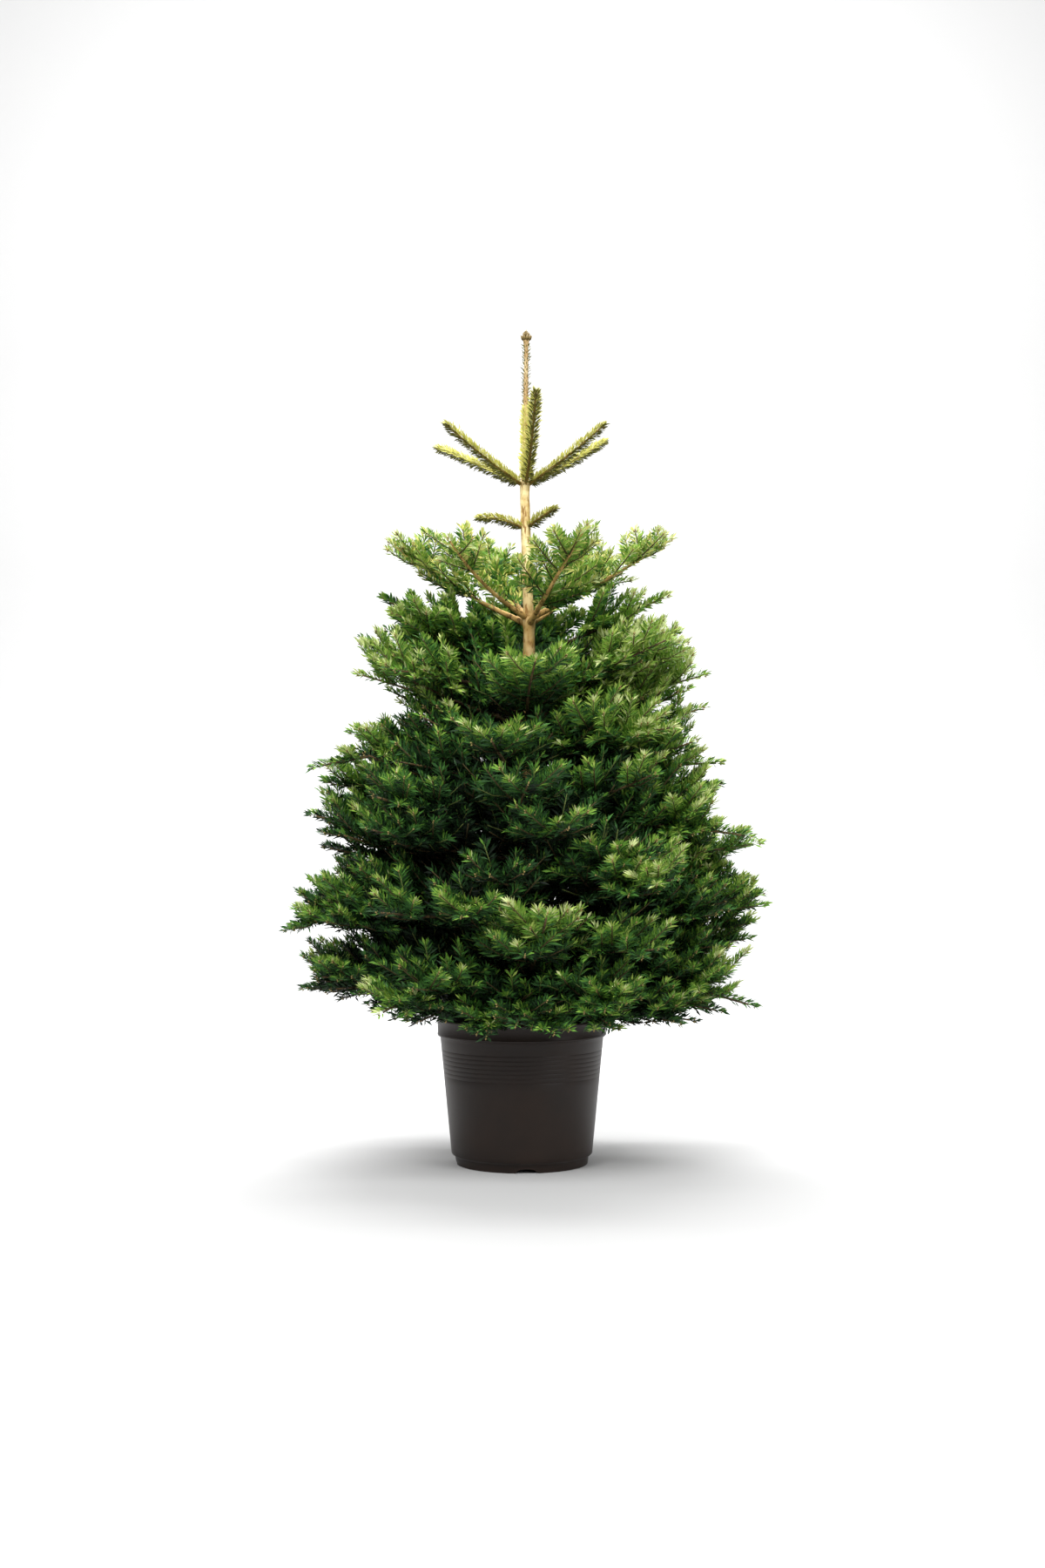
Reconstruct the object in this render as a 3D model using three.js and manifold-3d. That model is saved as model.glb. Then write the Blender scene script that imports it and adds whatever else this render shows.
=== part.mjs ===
// A young fir in a ten-litre nursery pot: one straight trunk that runs up into a bare leader, whorls of
// boughs round it, and on each bough a flat fan of needle sprays.
// Millimetres, +Z up, origin in the middle of the pot's underside. The front of the tree faces -Y.

import * as THREE from "three";
import { mergeVertices } from "three/addons/utils/BufferGeometryUtils.js";
import Module from "manifold-3d";

const wasm = await Module();
wasm.setup();

// Driving dimensions of the pot
const POT_HEIGHT = 232;
const POT_RIM_RADIUS = 135.5;
const POT_RIM_DEPTH = 27;
const POT_BODY_TOP_RADIUS = 130.5;
const POT_BODY_BOTTOM_RADIUS = 112.5;
const POT_FOOT_RADIUS = 105.5;
const POT_FOOT_HEIGHT = 13;
const POT_STEP = 4;
const POT_WALL = 2.4;
const POT_FLOOR = 3;
const POT_FLOOR_RISE = 4;
const POT_PAD_RADIUS = 34;
const POT_SIDES = 36;
const POT_BODY_FOOT = POT_FOOT_HEIGHT + POT_STEP;
const POT_BODY_TOP = POT_HEIGHT - POT_RIM_DEPTH - 2;
const NOTCH = { count: 4, width: 34, height: 7, depth: 24, firstAzimuth: -86 };
const DRAIN = { count: 8, radius: 6, ring: 66, sides: 8 };
const SOIL_LEVEL = 214;
const SOIL_FALL = 12;
const SOIL_LEVEL_RADIUS = 40;
const SOIL_SHOULDER_RADIUS = 104;

// Driving dimensions of the tree
const CLEARANCE = 0.3;
const CROWN_CLEAR = 0.9;
const TREE_TOP = 1330;
const TRUNK_SIDES = 8;
const LIMB_SIDES = 5;
const LIMB_SPANS = 3;
const STEM_SIDES = 4;
const STEM_SPANS = 4;
const SHOOT_SPANS = 4;

// Height on the trunk, with the trunk's lean towards +X and its radius there
const TRUNK_LINE = [
  { z: SOIL_LEVEL + CLEARANCE, lean: 0, radius: 24 },
  { z: 224, lean: 0.5, radius: 18.5 },
  { z: 250, lean: 1, radius: 16.2 },
  { z: 400, lean: 5, radius: 14.6 },
  { z: 560, lean: 9, radius: 12.8 },
  { z: 722, lean: 12, radius: 11 },
  { z: 850, lean: 11.5, radius: 9 },
  { z: 862, lean: 11, radius: 10 },
  { z: 876, lean: 10.5, radius: 8.4 },
  { z: 1010, lean: 6.3, radius: 7.4 },
  { z: 1072, lean: 4.6, radius: 6.8 },
  { z: 1088, lean: 5, radius: 8 },
  { z: 1102, lean: 5.4, radius: 5 },
  { z: 1210, lean: 6.2, radius: 3.9 },
  { z: 1308, lean: 7, radius: 2.9 },
  { z: 1317, lean: 7, radius: 5.2 },
  { z: TREE_TOP, lean: 7, radius: 1.6 },
];

// How every bough branches: angles in degrees, LATERAL_SHARE the length of a side shoot for each unit of
// the bough beyond it, INNER_SHADE what the shade at the trunk takes from that, and LIMB_SHARE how much of
// the bare part is a node of its own where the wood shows.
const SEED = 4711;
const LATERAL_ANGLE = 47;
const ANGLE_SCATTER = 14;
const NODE_SCATTER = 0.24;
const LENGTH_SCATTER = 0.3;
const EDGE_RAISED = 50;
const ROLL_SCATTER = 24;
const TIP_ROLL = 30;
const SWAY = 26;
const LATERAL_SHARE = 0.74;
const LATERAL_RISE = 0.24;
const LATERAL_LEAST = 12;
const INNER_SHADE = 0.5;
const BOUGH_TAPER = 0.8;
const LIMB_SHARE = 0.9;

// A spray of needles, as a toothed blade. SPRAY_SIDE has the points of one side, as shares of its length and
// of its width, TIP_SPRAY is the length of the spray at a bough's tip in years' growths, and ROOT_SHARED the
// length at its root over which a spray may touch its own bough's others.
const SPRAY_SIDE = [
  [0.56, 0.5],
  [0.55, 0.2],
  [0.88, 0.3],
];
const SPRAY_BREADTH = 0.72;
const SPRAY_NARROWEST = 22;
const SPRAY_THICK = 2.2;
const TWIG_WIDTH = 2.6;
const TWIG_SHARE = 0.2;
const TIP_SPRAY = 1.7;
const STEM_TIP_RADIUS = 2.6;
const ROOT_SUNK = 1;
const ROOT_SHARED = 18;
const SHORTEST_SPRAY = 36;

// What a spray falls back to where it doesn't fit: its share of the full length, then of the full width
const FITS = [
  [1, 1],
  [1, 0.75],
  [0.8, 0.8],
  [0.62, 0.8],
];

// Single needles, on the leader and on this year's top shoots
const NEEDLE_RADIUS = 1.5;
const NEEDLE_LEAN = 0.8;
const GOLDEN_ANGLE = 137.5;

// Whorls from the top down. height is where the boughs leave the trunk, stagger how much higher every second
// one does, startSlope their rise for each unit of run there, increment the length of one year's growth, bare
// the share of a bough with no foliage, and radius the bough's at the trunk. A bough has its azimuth from +X,
// the reach of its tip from the trunk and the lift of its tip above height. limb says that its wood shows, so
// that it is a node of its own.
const WHORLS = [
  {
    level: 2, height: 861, stagger: 9, startSlope: 0.42, increment: 80, bare: 0.32, radius: 5.2,
    boughs: [
      { side: "left", azimuth: 176, reach: 226, lift: 134, limb: true },
      { side: "front_left", azimuth: -131, reach: 190, lift: 120, limb: true },
      { side: "front_right", azimuth: -63, reach: 196, lift: 137, limb: true },
      { side: "right", azimuth: -6, reach: 230, lift: 134, limb: true },
      { side: "back_right", azimuth: 55, reach: 200, lift: 132, limb: true },
      { side: "back_left", azimuth: 116, reach: 200, lift: 142, limb: true },
    ],
  },
  {
    level: 3, height: 796, stagger: 10, startSlope: 0.32, increment: 76, bare: 0.3, radius: 4.4,
    boughs: [
      { side: "left", azimuth: -171, reach: 236, lift: 105 },
      { side: "right", azimuth: -22, reach: 234, lift: 103 },
      { side: "back", azimuth: 82, reach: 212, lift: 96 },
    ],
  },
  {
    level: 4, height: 712, stagger: 26, startSlope: 0.28, increment: 64, bare: 0.2, radius: 5.6,
    boughs: [
      { side: "left", azimuth: 172, reach: 275, lift: 131 },
      { side: "front_left", azimuth: -142, reach: 262, lift: 64 },
      { side: "front", azimuth: -84, reach: 226, lift: 62 },
      { side: "front_right", azimuth: -36, reach: 266, lift: 114 },
      { side: "right", azimuth: 16, reach: 278, lift: 84 },
      { side: "back", azimuth: 94, reach: 250, lift: 104 },
    ],
  },
  {
    level: 5, height: 604, stagger: 36, startSlope: 0.2, increment: 70, bare: 0.28, radius: 6.2,
    boughs: [
      { side: "left", azimuth: 158, reach: 318, lift: 88 },
      { side: "front_left", azimuth: -163, reach: 352, lift: 24, limb: true },
      { side: "front", azimuth: -101, reach: 286, lift: 62 },
      { side: "front_right", azimuth: -44, reach: 304, lift: 84 },
      { side: "right", azimuth: 11, reach: 322, lift: 36 },
      { side: "back", azimuth: 84, reach: 292, lift: 92 },
    ],
  },
  {
    level: 6, height: 500, stagger: 34, startSlope: 0.1, increment: 68, bare: 0.2, radius: 6.6,
    boughs: [
      { side: "left", azimuth: 179, reach: 348, lift: 56 },
      { side: "front_left", azimuth: -134, reach: 332, lift: 84 },
      { side: "front", azimuth: -79, reach: 318, lift: 36 },
      { side: "right", azimuth: -20, reach: 368, lift: 22 },
      { side: "back_right", azimuth: 44, reach: 346, lift: 38 },
      { side: "back_left", azimuth: 117, reach: 330, lift: 84 },
    ],
  },
  {
    level: 7, height: 400, stagger: 32, startSlope: 0.02, increment: 66, bare: 0.28, radius: 7,
    boughs: [
      { side: "left", azimuth: 163, reach: 382, lift: 24 },
      { side: "front_left", azimuth: -156, reach: 402, lift: -20 },
      { side: "front", azimuth: -106, reach: 338, lift: 8 },
      { side: "front_right", azimuth: -52, reach: 364, lift: 62 },
      { side: "right", azimuth: 5, reach: 388, lift: 28 },
      { side: "back", azimuth: 77, reach: 352, lift: 60 },
    ],
  },
  {
    level: 8, height: 310, stagger: 22, startSlope: -0.1, increment: 64, bare: 0.28, radius: 7.2,
    boughs: [
      { side: "left", azimuth: 178, reach: 356, lift: -34 },
      { side: "front_left", azimuth: -130, reach: 334, lift: -50 },
      { side: "front", azimuth: -84, reach: 330, lift: 104, limb: true },
      { side: "right", azimuth: -16, reach: 374, lift: -52 },
      { side: "back_right", azimuth: 46, reach: 356, lift: -30 },
      { side: "back_left", azimuth: 115, reach: 350, lift: -14 },
    ],
  },
  {
    level: 9, height: 270, stagger: 12, startSlope: 0.02, increment: 60, bare: 0.46, radius: 5,
    boughs: [
      { side: "front_left", azimuth: -102, reach: 262, lift: -44 },
      { side: "front_right", azimuth: -62, reach: 274, lift: -26 },
      { side: "back", azimuth: 80, reach: 268, lift: -30 },
    ],
  },
];

// This year's shoots, each one stem with no side shoots: name, node, azimuth, reach, lift, and the needles
const SHOOTS = [
  { name: "top_shoot_left", height: 1087, azimuth: -152, reach: 140, lift: 87, needles: 11 },
  { name: "top_shoot_back_left", height: 1087, azimuth: 160, reach: 152, lift: 71, needles: 11 },
  { name: "top_shoot_front", height: 1087, azimuth: -80, reach: 99, lift: 131, needles: 11 },
  { name: "top_shoot_right", height: 1087, azimuth: -26, reach: 138, lift: 87, needles: 11 },
  { name: "top_shoot_back_right", height: 1087, azimuth: 21, reach: 140, lift: 81, needles: 11 },
  { name: "twig_left", height: 1019, azimuth: -160, reach: 80, lift: 14, needles: 8 },
  { name: "twig_right", height: 1021, azimuth: -42, reach: 62, lift: 26, needles: 8 },
];
const SHOOT_RADIUS = 3.2;
const SHOOT_TAPER = 0.3;
const SHOOT_BARE = 0.16;
const SHOOT_SLOPE = 0.5;
const SHOOT_NEEDLE = 13;
const LEADER_NEEDLES = { count: 18, from: 1112, to: 1322, length: 9.5 };

const COLOURS = {
  pot: { color: 0x352f2a, roughness: 0.55, metalness: 0 },
  soil: { color: 0x2b211a, roughness: 1, metalness: 0 },
  bark: { color: 0xb2925f, roughness: 0.85, metalness: 0 },
  wood: { color: 0x7d5c36, roughness: 0.85, metalness: 0 },
  fresh: { color: 0x9a9b4c, roughness: 0.6, metalness: 0 },
  bright: { color: 0x5e8c37, roughness: 0.6, metalness: 0 },
  deep: { color: 0x2f5a2a, roughness: 0.6, metalness: 0 },
};

const UP = new THREE.Vector3(0, 0, 1);

// A repeatable stream of numbers from 0 to 1.
function seeded(seed) {
  let state = seed >>> 0;
  return () => {
    state = (state * 1664525 + 1013904223) % 4294967296;
    return state / 4294967296;
  };
}

function radians(degrees) {
  return (degrees * Math.PI) / 180;
}

// The value of one key of the trunk's line at height z.
function alongTrunk(z, key) {
  const last = TRUNK_LINE.length - 1;
  if (z <= TRUNK_LINE[0].z) return TRUNK_LINE[0][key];
  if (z >= TRUNK_LINE[last].z) return TRUNK_LINE[last][key];
  const i = TRUNK_LINE.findIndex((p) => p.z > z);
  const [a, b] = [TRUNK_LINE[i - 1], TRUNK_LINE[i]];
  return THREE.MathUtils.lerp(a[key], b[key], (z - a.z) / (b.z - a.z));
}

// A closed geometry as a solid.
function solidOf(geometry) {
  const bare = new THREE.BufferGeometry().setAttribute("position", geometry.getAttribute("position"));
  if (geometry.index) bare.setIndex(geometry.index);
  const merged = mergeVertices(bare, 1e-4);
  return new wasm.Manifold(
    new wasm.Mesh({
      numProp: 3,
      vertProperties: merged.attributes.position.array,
      triVerts: new Uint32Array(merged.index.array),
    }),
  );
}

// A solid as a geometry with flat faces.
function geometryOf(solid) {
  const mesh = solid.getMesh();
  const geometry = new THREE.BufferGeometry();
  geometry.setAttribute("position", new THREE.BufferAttribute(mesh.vertProperties, 3));
  geometry.setIndex(new THREE.BufferAttribute(mesh.triVerts, 1));
  const flat = geometry.toNonIndexed();
  flat.computeVertexNormals();
  return flat;
}

// A tube with flat ends: rings of the given number of sides at each { centre, across, up, radius }.
function tube(rings, sides) {
  const spans = rings.length - 1;
  const geometry = new THREE.CylinderGeometry(1, 1, 1, sides, spans);
  const position = geometry.getAttribute("position");
  const corner = new THREE.Vector3();
  for (let i = 0; i < position.count; i += 1) {
    const ring = rings[Math.round((position.getY(i) + 0.5) * spans)];
    corner
      .copy(ring.centre)
      .addScaledVector(ring.across, position.getZ(i) * ring.radius)
      .addScaledVector(ring.up, position.getX(i) * ring.radius);
    position.setXYZ(i, corner.x, corner.y, corner.z);
  }
  return solidOf(geometry);
}

// The trunk's solid, with its radius grown by extra so that it can cut the boughs clear.
function trunkTube(extra) {
  const across = new THREE.Vector3(1, 0, 0);
  const up = new THREE.Vector3(0, 1, 0);
  const rings = TRUNK_LINE.map(({ z, lean, radius }) => ({
    centre: new THREE.Vector3(lean, 0, z),
    across,
    up,
    radius: radius + extra,
  }));
  return tube(rings, TRUNK_SIDES);
}

// The line of a bough or a shoot: a curve that leaves the trunk at startSlope and bends up to its tip.
class BoughLine {
  constructor({ height, azimuth, reach, lift, startSlope, sway }) {
    const turn = radians(azimuth);
    this.root = new THREE.Vector3(alongTrunk(height, "lean"), 0, height);
    this.out = new THREE.Vector3(Math.cos(turn), Math.sin(turn), 0);
    this.across = new THREE.Vector3(-Math.sin(turn), Math.cos(turn), 0);
    Object.assign(this, { reach, lift, startSlope, sway });
    this.length = 0;
    const steps = 24;
    for (let i = 0; i < steps; i += 1)
      this.length += this.point(i / steps).distanceTo(this.point((i + 1) / steps));
  }

  point(u) {
    const rise = this.startSlope * this.reach * u + (this.lift - this.startSlope * this.reach) * u * u;
    return this.root
      .clone()
      .addScaledVector(this.out, this.reach * u)
      .addScaledVector(this.across, this.sway * Math.sin(Math.PI * u))
      .addScaledVector(UP, rise);
  }

  // The frame of the line at u: along, across to the left, and up.
  frame(u) {
    const step = 0.01;
    const along = this.point(u + step).sub(this.point(u - step)).normalize();
    const across = UP.clone().cross(along).normalize();
    return { centre: this.point(u), along, across, up: along.clone().cross(across) };
  }
}

// A tapered limb along a bough's line, from one share of its length to another.
function limb(line, from, to, spans, sides, radiusAt) {
  const rings = [];
  for (let i = 0; i <= spans; i += 1) {
    const u = THREE.MathUtils.lerp(from, to, i / spans);
    rings.push({ ...line.frame(u), radius: radiusAt(u) });
  }
  return tube(rings, sides);
}

// The outline of a spray: its bare twig, then teeth that lean forward on both sides, and its tip.
function sprayOutline(length, width, from) {
  const teeth = SPRAY_SIDE.map(([x, y]) => [x * length, y * width]);
  const side = [[TWIG_SHARE * length, TWIG_WIDTH / 2], ...teeth];
  const shape = new THREE.Shape();
  shape.moveTo(from, -TWIG_WIDTH / 2);
  for (const [x, y] of side) shape.lineTo(x, -y);
  shape.lineTo(length, 0);
  for (const [x, y] of side.reverse()) shape.lineTo(x, y);
  shape.lineTo(from, TWIG_WIDTH / 2);
  shape.closePath();
  return shape;
}

// A spray of needles along a shoot, its flat side facing up as far as that allows.
function spray({ root, direction, up }, length, widthShare, from) {
  const width = widthShare * (SPRAY_NARROWEST + SPRAY_BREADTH * length);
  const geometry = new THREE.ExtrudeGeometry(sprayOutline(length, width, from), {
    depth: SPRAY_THICK,
    bevelEnabled: false,
  });
  geometry.translate(0, 0, -SPRAY_THICK / 2);
  const across = up.clone().cross(direction).normalize();
  const normal = direction.clone().cross(across);
  geometry.applyMatrix4(new THREE.Matrix4().makeBasis(direction, across, normal).setPosition(root));
  return solidOf(geometry);
}

// One needle that stands out of a stem, its root sunk in the stem.
function needle(root, direction, length) {
  const geometry = new THREE.ConeGeometry(NEEDLE_RADIUS, length, 3);
  geometry.translate(0, length / 2, 0);
  const turn = new THREE.Quaternion().setFromUnitVectors(new THREE.Vector3(0, 1, 0), direction);
  geometry.applyQuaternion(turn);
  geometry.translate(root.x, root.y, root.z);
  return solidOf(geometry);
}

// The side shoots of a bough, from its tip inwards: a pair at each year's node, each with its place, its
// direction and its length. Older pairs are longer, less what the shade of the crown takes from them.
function sideShoots(bough) {
  const { line, whorl, random } = bough;
  const shoots = [];
  const foliage = line.length * (1 - whorl.bare);
  for (let node = 1; node * whorl.increment < foliage; node += 1)
    for (const side of [-1, 1]) {
      const back = whorl.increment * (node + (random() - 0.5) * NODE_SCATTER);
      const angle = radians(LATERAL_ANGLE + (random() - 0.5) * ANGLE_SCATTER);
      const scatter = 1 + (random() - 0.5) * LENGTH_SCATTER;
      const roll = radians(-side * EDGE_RAISED + (random() - 0.5) * ROLL_SCATTER);
      const { centre, along, across, up } = line.frame(1 - back / line.length);
      const shade = 1 - INNER_SHADE * (back / line.length);
      const direction = along
        .clone()
        .multiplyScalar(Math.cos(angle))
        .addScaledVector(across, side * Math.sin(angle))
        .addScaledVector(up, LATERAL_RISE)
        .normalize();
      shoots.push({
        node,
        root: centre,
        direction,
        up: up.clone().applyAxisAngle(direction, roll),
        length: LATERAL_SHARE * back * shade * scatter + LATERAL_LEAST,
      });
    }
  return shoots;
}

// What is already in the crown, so that a spray that would touch it is left out.
const standing = [];

function boxesMeet(a, b, margin) {
  return [0, 1, 2].every((k) => a.min[k] - margin <= b.max[k] && b.min[k] - margin <= a.max[k]);
}

function addStanding(owner, solid) {
  standing.push({ owner, solid, box: solid.boundingBox() });
}

function isClear(owner, solid) {
  const box = solid.boundingBox();
  return standing.every(
    (other) =>
      other.owner === owner ||
      !boxesMeet(box, other.box, CROWN_CLEAR) ||
      solid.minGap(other.solid, 2 * CROWN_CLEAR) > CROWN_CLEAR,
  );
}

// The half-width of a bough's own sector, to its nearest neighbour in the whorl on that side.
function ownSector(bough, whorl) {
  const gaps = whorl.boughs
    .filter((other) => other !== bough)
    .map((other) => THREE.MathUtils.euclideanModulo(other.azimuth - bough.azimuth, 360));
  return { left: Math.min(...gaps) / 2, right: (360 - Math.max(...gaps)) / 2 };
}

function staysInSector(bough, point) {
  const { line, sector } = bough;
  const from = point.clone().sub(line.root);
  const turn = THREE.MathUtils.radToDeg(Math.atan2(from.dot(line.across), from.dot(line.out)));
  return turn <= sector.left && turn >= -sector.right;
}

// Adds one spray to a mass, shorter where the full one doesn't fit, or not at all.
function growSpray(bough, shoot) {
  for (const [lengthShare, widthShare] of FITS) {
    const length = shoot.length * lengthShare;
    if (length < SHORTEST_SPRAY) return;
    const tip = shoot.root.clone().addScaledVector(shoot.direction, length);
    if (!staysInSector(bough, tip)) continue;
    const solid = spray(shoot, length, widthShare, -ROOT_SUNK);
    const beyondRoot = spray(shoot, length, widthShare, ROOT_SHARED);
    const ownClear = bough.sprays.every((other) => beyondRoot.minGap(other, 2 * CROWN_CLEAR) > CLEARANCE);
    if (!ownClear || !isClear(bough, solid)) continue;
    addStanding(bough, solid);
    bough.sprays.push(solid);
    return;
  }
}

const group = new THREE.Group();
const materials = Object.fromEntries(
  Object.entries(COLOURS).map(([name, look]) => [name, new THREE.MeshStandardMaterial(look)]),
);

function addNode(name, solid, material) {
  const mesh = new THREE.Mesh(geometryOf(solid), materials[material]);
  mesh.name = name;
  group.add(mesh);
}

// The pot: a turned wall with a stepped foot and a deep rim, notched at the foot and drained by holes.
function pot() {
  const floorTop = POT_FLOOR + POT_FLOOR_RISE;
  const profile = [
    [0, 0],
    [POT_PAD_RADIUS, 0],
    [POT_PAD_RADIUS + 3, POT_FLOOR_RISE],
    [POT_FOOT_RADIUS - 9, POT_FLOOR_RISE],
    [POT_FOOT_RADIUS - 7, 0],
    [POT_FOOT_RADIUS, 0],
    [POT_FOOT_RADIUS + 1, POT_FOOT_HEIGHT],
    [POT_BODY_BOTTOM_RADIUS, POT_BODY_FOOT],
    [POT_BODY_TOP_RADIUS, POT_BODY_TOP],
    [POT_RIM_RADIUS - 2, POT_HEIGHT - POT_RIM_DEPTH],
    [POT_RIM_RADIUS, POT_HEIGHT],
    [POT_RIM_RADIUS - POT_WALL, POT_HEIGHT],
    [POT_BODY_TOP_RADIUS - POT_WALL, POT_BODY_TOP],
    [POT_BODY_BOTTOM_RADIUS - POT_WALL, POT_BODY_FOOT],
    [POT_FOOT_RADIUS - POT_WALL, floorTop],
    [0, floorTop],
  ].map(([x, y]) => new THREE.Vector2(x, y));
  let solid = solidOf(new THREE.LatheGeometry(profile, POT_SIDES).rotateX(Math.PI / 2));
  for (let i = 0; i < NOTCH.count; i += 1) {
    const notch = new THREE.BoxGeometry(NOTCH.depth, NOTCH.width, 2 * NOTCH.height);
    notch.translate(POT_FOOT_RADIUS, 0, 0);
    notch.rotateZ(radians(NOTCH.firstAzimuth + (360 / NOTCH.count) * i));
    solid = solid.subtract(solidOf(notch));
  }
  for (let i = 0; i < DRAIN.count; i += 1) {
    const hole = new THREE.CylinderGeometry(DRAIN.radius, DRAIN.radius, 4 * floorTop, DRAIN.sides);
    hole.rotateX(Math.PI / 2);
    hole.translate(DRAIN.ring, 0, 0);
    hole.rotateZ(radians((360 / DRAIN.count) * (i + 0.5)));
    solid = solid.subtract(solidOf(hole));
  }
  return solid;
}

// The soil fills the pot from its floor, and lies level under the trunk and a little lower at the wall.
function soil() {
  const floor = POT_FLOOR + POT_FLOOR_RISE + CLEARANCE;
  const wallSlope = (POT_BODY_TOP_RADIUS - POT_BODY_BOTTOM_RADIUS) / (POT_BODY_TOP - POT_BODY_FOOT);
  const clear = POT_WALL + 2 * CLEARANCE;
  const edge = SOIL_LEVEL - SOIL_FALL;
  const profile = [
    [0, floor],
    [POT_FOOT_RADIUS - clear - 0.5, floor],
    [POT_BODY_BOTTOM_RADIUS - clear, POT_BODY_FOOT + 1],
    [POT_BODY_BOTTOM_RADIUS - clear + wallSlope * (edge - POT_BODY_FOOT), edge],
    [SOIL_SHOULDER_RADIUS, SOIL_LEVEL - SOIL_FALL / 4],
    [SOIL_LEVEL_RADIUS, SOIL_LEVEL],
    [0, SOIL_LEVEL],
  ].map(([x, y]) => new THREE.Vector2(x, y));
  return solidOf(new THREE.LatheGeometry(profile, POT_SIDES).rotateX(Math.PI / 2));
}

// Needles round a stem from one share of it to another, turned by the golden angle from one to the next.
function needlesOn(frameAt, from, to, count, length) {
  const needles = [];
  for (let i = 0; i < count; i += 1) {
    const { centre, along, across, up } = frameAt(THREE.MathUtils.lerp(from, to, (i + 0.5) / count));
    const turn = radians(GOLDEN_ANGLE * i);
    const out = across.clone().multiplyScalar(Math.cos(turn)).addScaledVector(up, Math.sin(turn));
    const direction = out.addScaledVector(along, NEEDLE_LEAN).normalize();
    needles.push(needle(centre, direction, length));
  }
  return needles;
}

const trunkCut = trunkTube(CLEARANCE);

// The trunk runs whole from the soil to the bud at its tip. The leader's own needles stand on it.
function trunk() {
  const frameAt = (z) => ({
    centre: new THREE.Vector3(alongTrunk(z, "lean"), 0, z),
    along: UP,
    across: new THREE.Vector3(1, 0, 0),
    up: new THREE.Vector3(0, 1, 0),
  });
  const { count, from, to, length } = LEADER_NEEDLES;
  return wasm.Manifold.union([trunkTube(0), ...needlesOn(frameAt, from, to, count, length)]);
}

// A bare bough or a foliage stem has one taper, from its radius at the trunk to a fine tip.
function boughRadius(bough) {
  return (u) => THREE.MathUtils.lerp(bough.whorl.radius, STEM_TIP_RADIUS, Math.pow(u, BOUGH_TAPER));
}

addNode("pot", pot(), "pot");
addNode("soil", soil(), "soil");
const trunkSolid = trunk();
addNode("trunk", trunkSolid, "bark");
addStanding("trunk", trunkSolid);

// Shoots of this year: a slim stem with needles standing out of it.
for (const shoot of SHOOTS) {
  const line = new BoughLine({ ...shoot, startSlope: SHOOT_SLOPE, sway: 0 });
  const stem = limb(line, 0, 1, SHOOT_SPANS, STEM_SIDES, (u) => SHOOT_RADIUS * (1 - SHOOT_TAPER * u));
  const needles = needlesOn((u) => line.frame(u), SHOOT_BARE, 1, shoot.needles, SHOOT_NEEDLE);
  const solid = wasm.Manifold.union([stem, ...needles]).subtract(trunkCut);
  const whole = solid.decompose().sort((a, b) => b.volume() - a.volume())[0];
  addNode(shoot.name, whole, "fresh");
  addStanding(shoot.name, whole);
}

// All the boughs' wood comes first, so that no spray takes its place.
const boughs = WHORLS.flatMap((whorl) =>
  whorl.boughs.map((bough, i) => {
    const random = seeded(SEED + 97 * whorl.level + 13 * i);
    const raised = (i % 2) * whorl.stagger;
    const line = new BoughLine({
      ...bough,
      height: whorl.height + raised,
      lift: bough.lift - raised,
      startSlope: whorl.startSlope,
      sway: (random() - 0.5) * SWAY,
    });
    const name = whorl.level + "_" + bough.side;
    return { ...bough, name, whorl, random, line, sector: ownSector(bough, whorl), sprays: [] };
  }),
);

for (const bough of boughs) {
  const { line, whorl } = bough;
  const radiusAt = boughRadius(bough);
  const split = whorl.bare * LIMB_SHARE;
  const stemFrom = bough.limb ? split + CLEARANCE / line.length : 0;
  const stemEnd = 1 - (TIP_SPRAY * whorl.increment - 2 * ROOT_SUNK) / line.length;
  let stem = limb(line, stemFrom, stemEnd, bough.limb ? STEM_SPANS : STEM_SPANS + 1, STEM_SIDES, radiusAt);
  if (bough.limb) {
    const wood = limb(line, 0, split, LIMB_SPANS, LIMB_SIDES, radiusAt).subtract(trunkCut);
    addNode("bough_" + bough.name, wood, "wood");
    addStanding(bough, wood);
  } else stem = stem.subtract(trunkCut);
  bough.stem = stem;
  addStanding(bough, stem);
}

// Then the sprays: at the tip of every bough one that stands for its last years and the first pair of side
// shoots, and after it one older pair after another inwards.
const queue = boughs.flatMap((bough) => {
  const { line, whorl } = bough;
  const { centre, up } = line.frame(1 - (TIP_SPRAY * whorl.increment) / line.length);
  const direction = line.point(1).sub(centre).normalize();
  const roll = radians((bough.random() - 0.5) * 2 * TIP_ROLL);
  const length = line.point(1).distanceTo(centre);
  const tip = { node: 0, root: centre, direction, up: up.clone().applyAxisAngle(direction, roll), length };
  const older = sideShoots(bough).filter((shoot) => shoot.node > 1);
  return [tip, ...older].map((shoot, order) => ({ bough, shoot, order }));
});
queue.sort((a, b) => a.order - b.order);
for (const { bough, shoot } of queue) growSpray(bough, shoot);

for (const bough of boughs) {
  const fused = wasm.Manifold.union([bough.stem, ...bough.sprays]);
  const whole = fused.decompose().sort((a, b) => b.volume() - a.volume())[0];
  addNode("foliage_" + bough.name, whole, bough.whorl.level < 5 ? "bright" : "deep");
}

export default group;
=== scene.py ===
"""A young fir in its nursery pot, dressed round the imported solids.

The crown grows by the same seeded rule as the solids: whorls of boughs round the trunk, pairs of side
shoots at each year's node, and here their own side shoots, needles and buds as well.
Growth is worked out in millimetres and becomes metres where a mesh is made.
"""
import math

import bmesh
import bpy
import numpy as np
from mathutils import Matrix, Quaternion, Vector, noise


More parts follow.
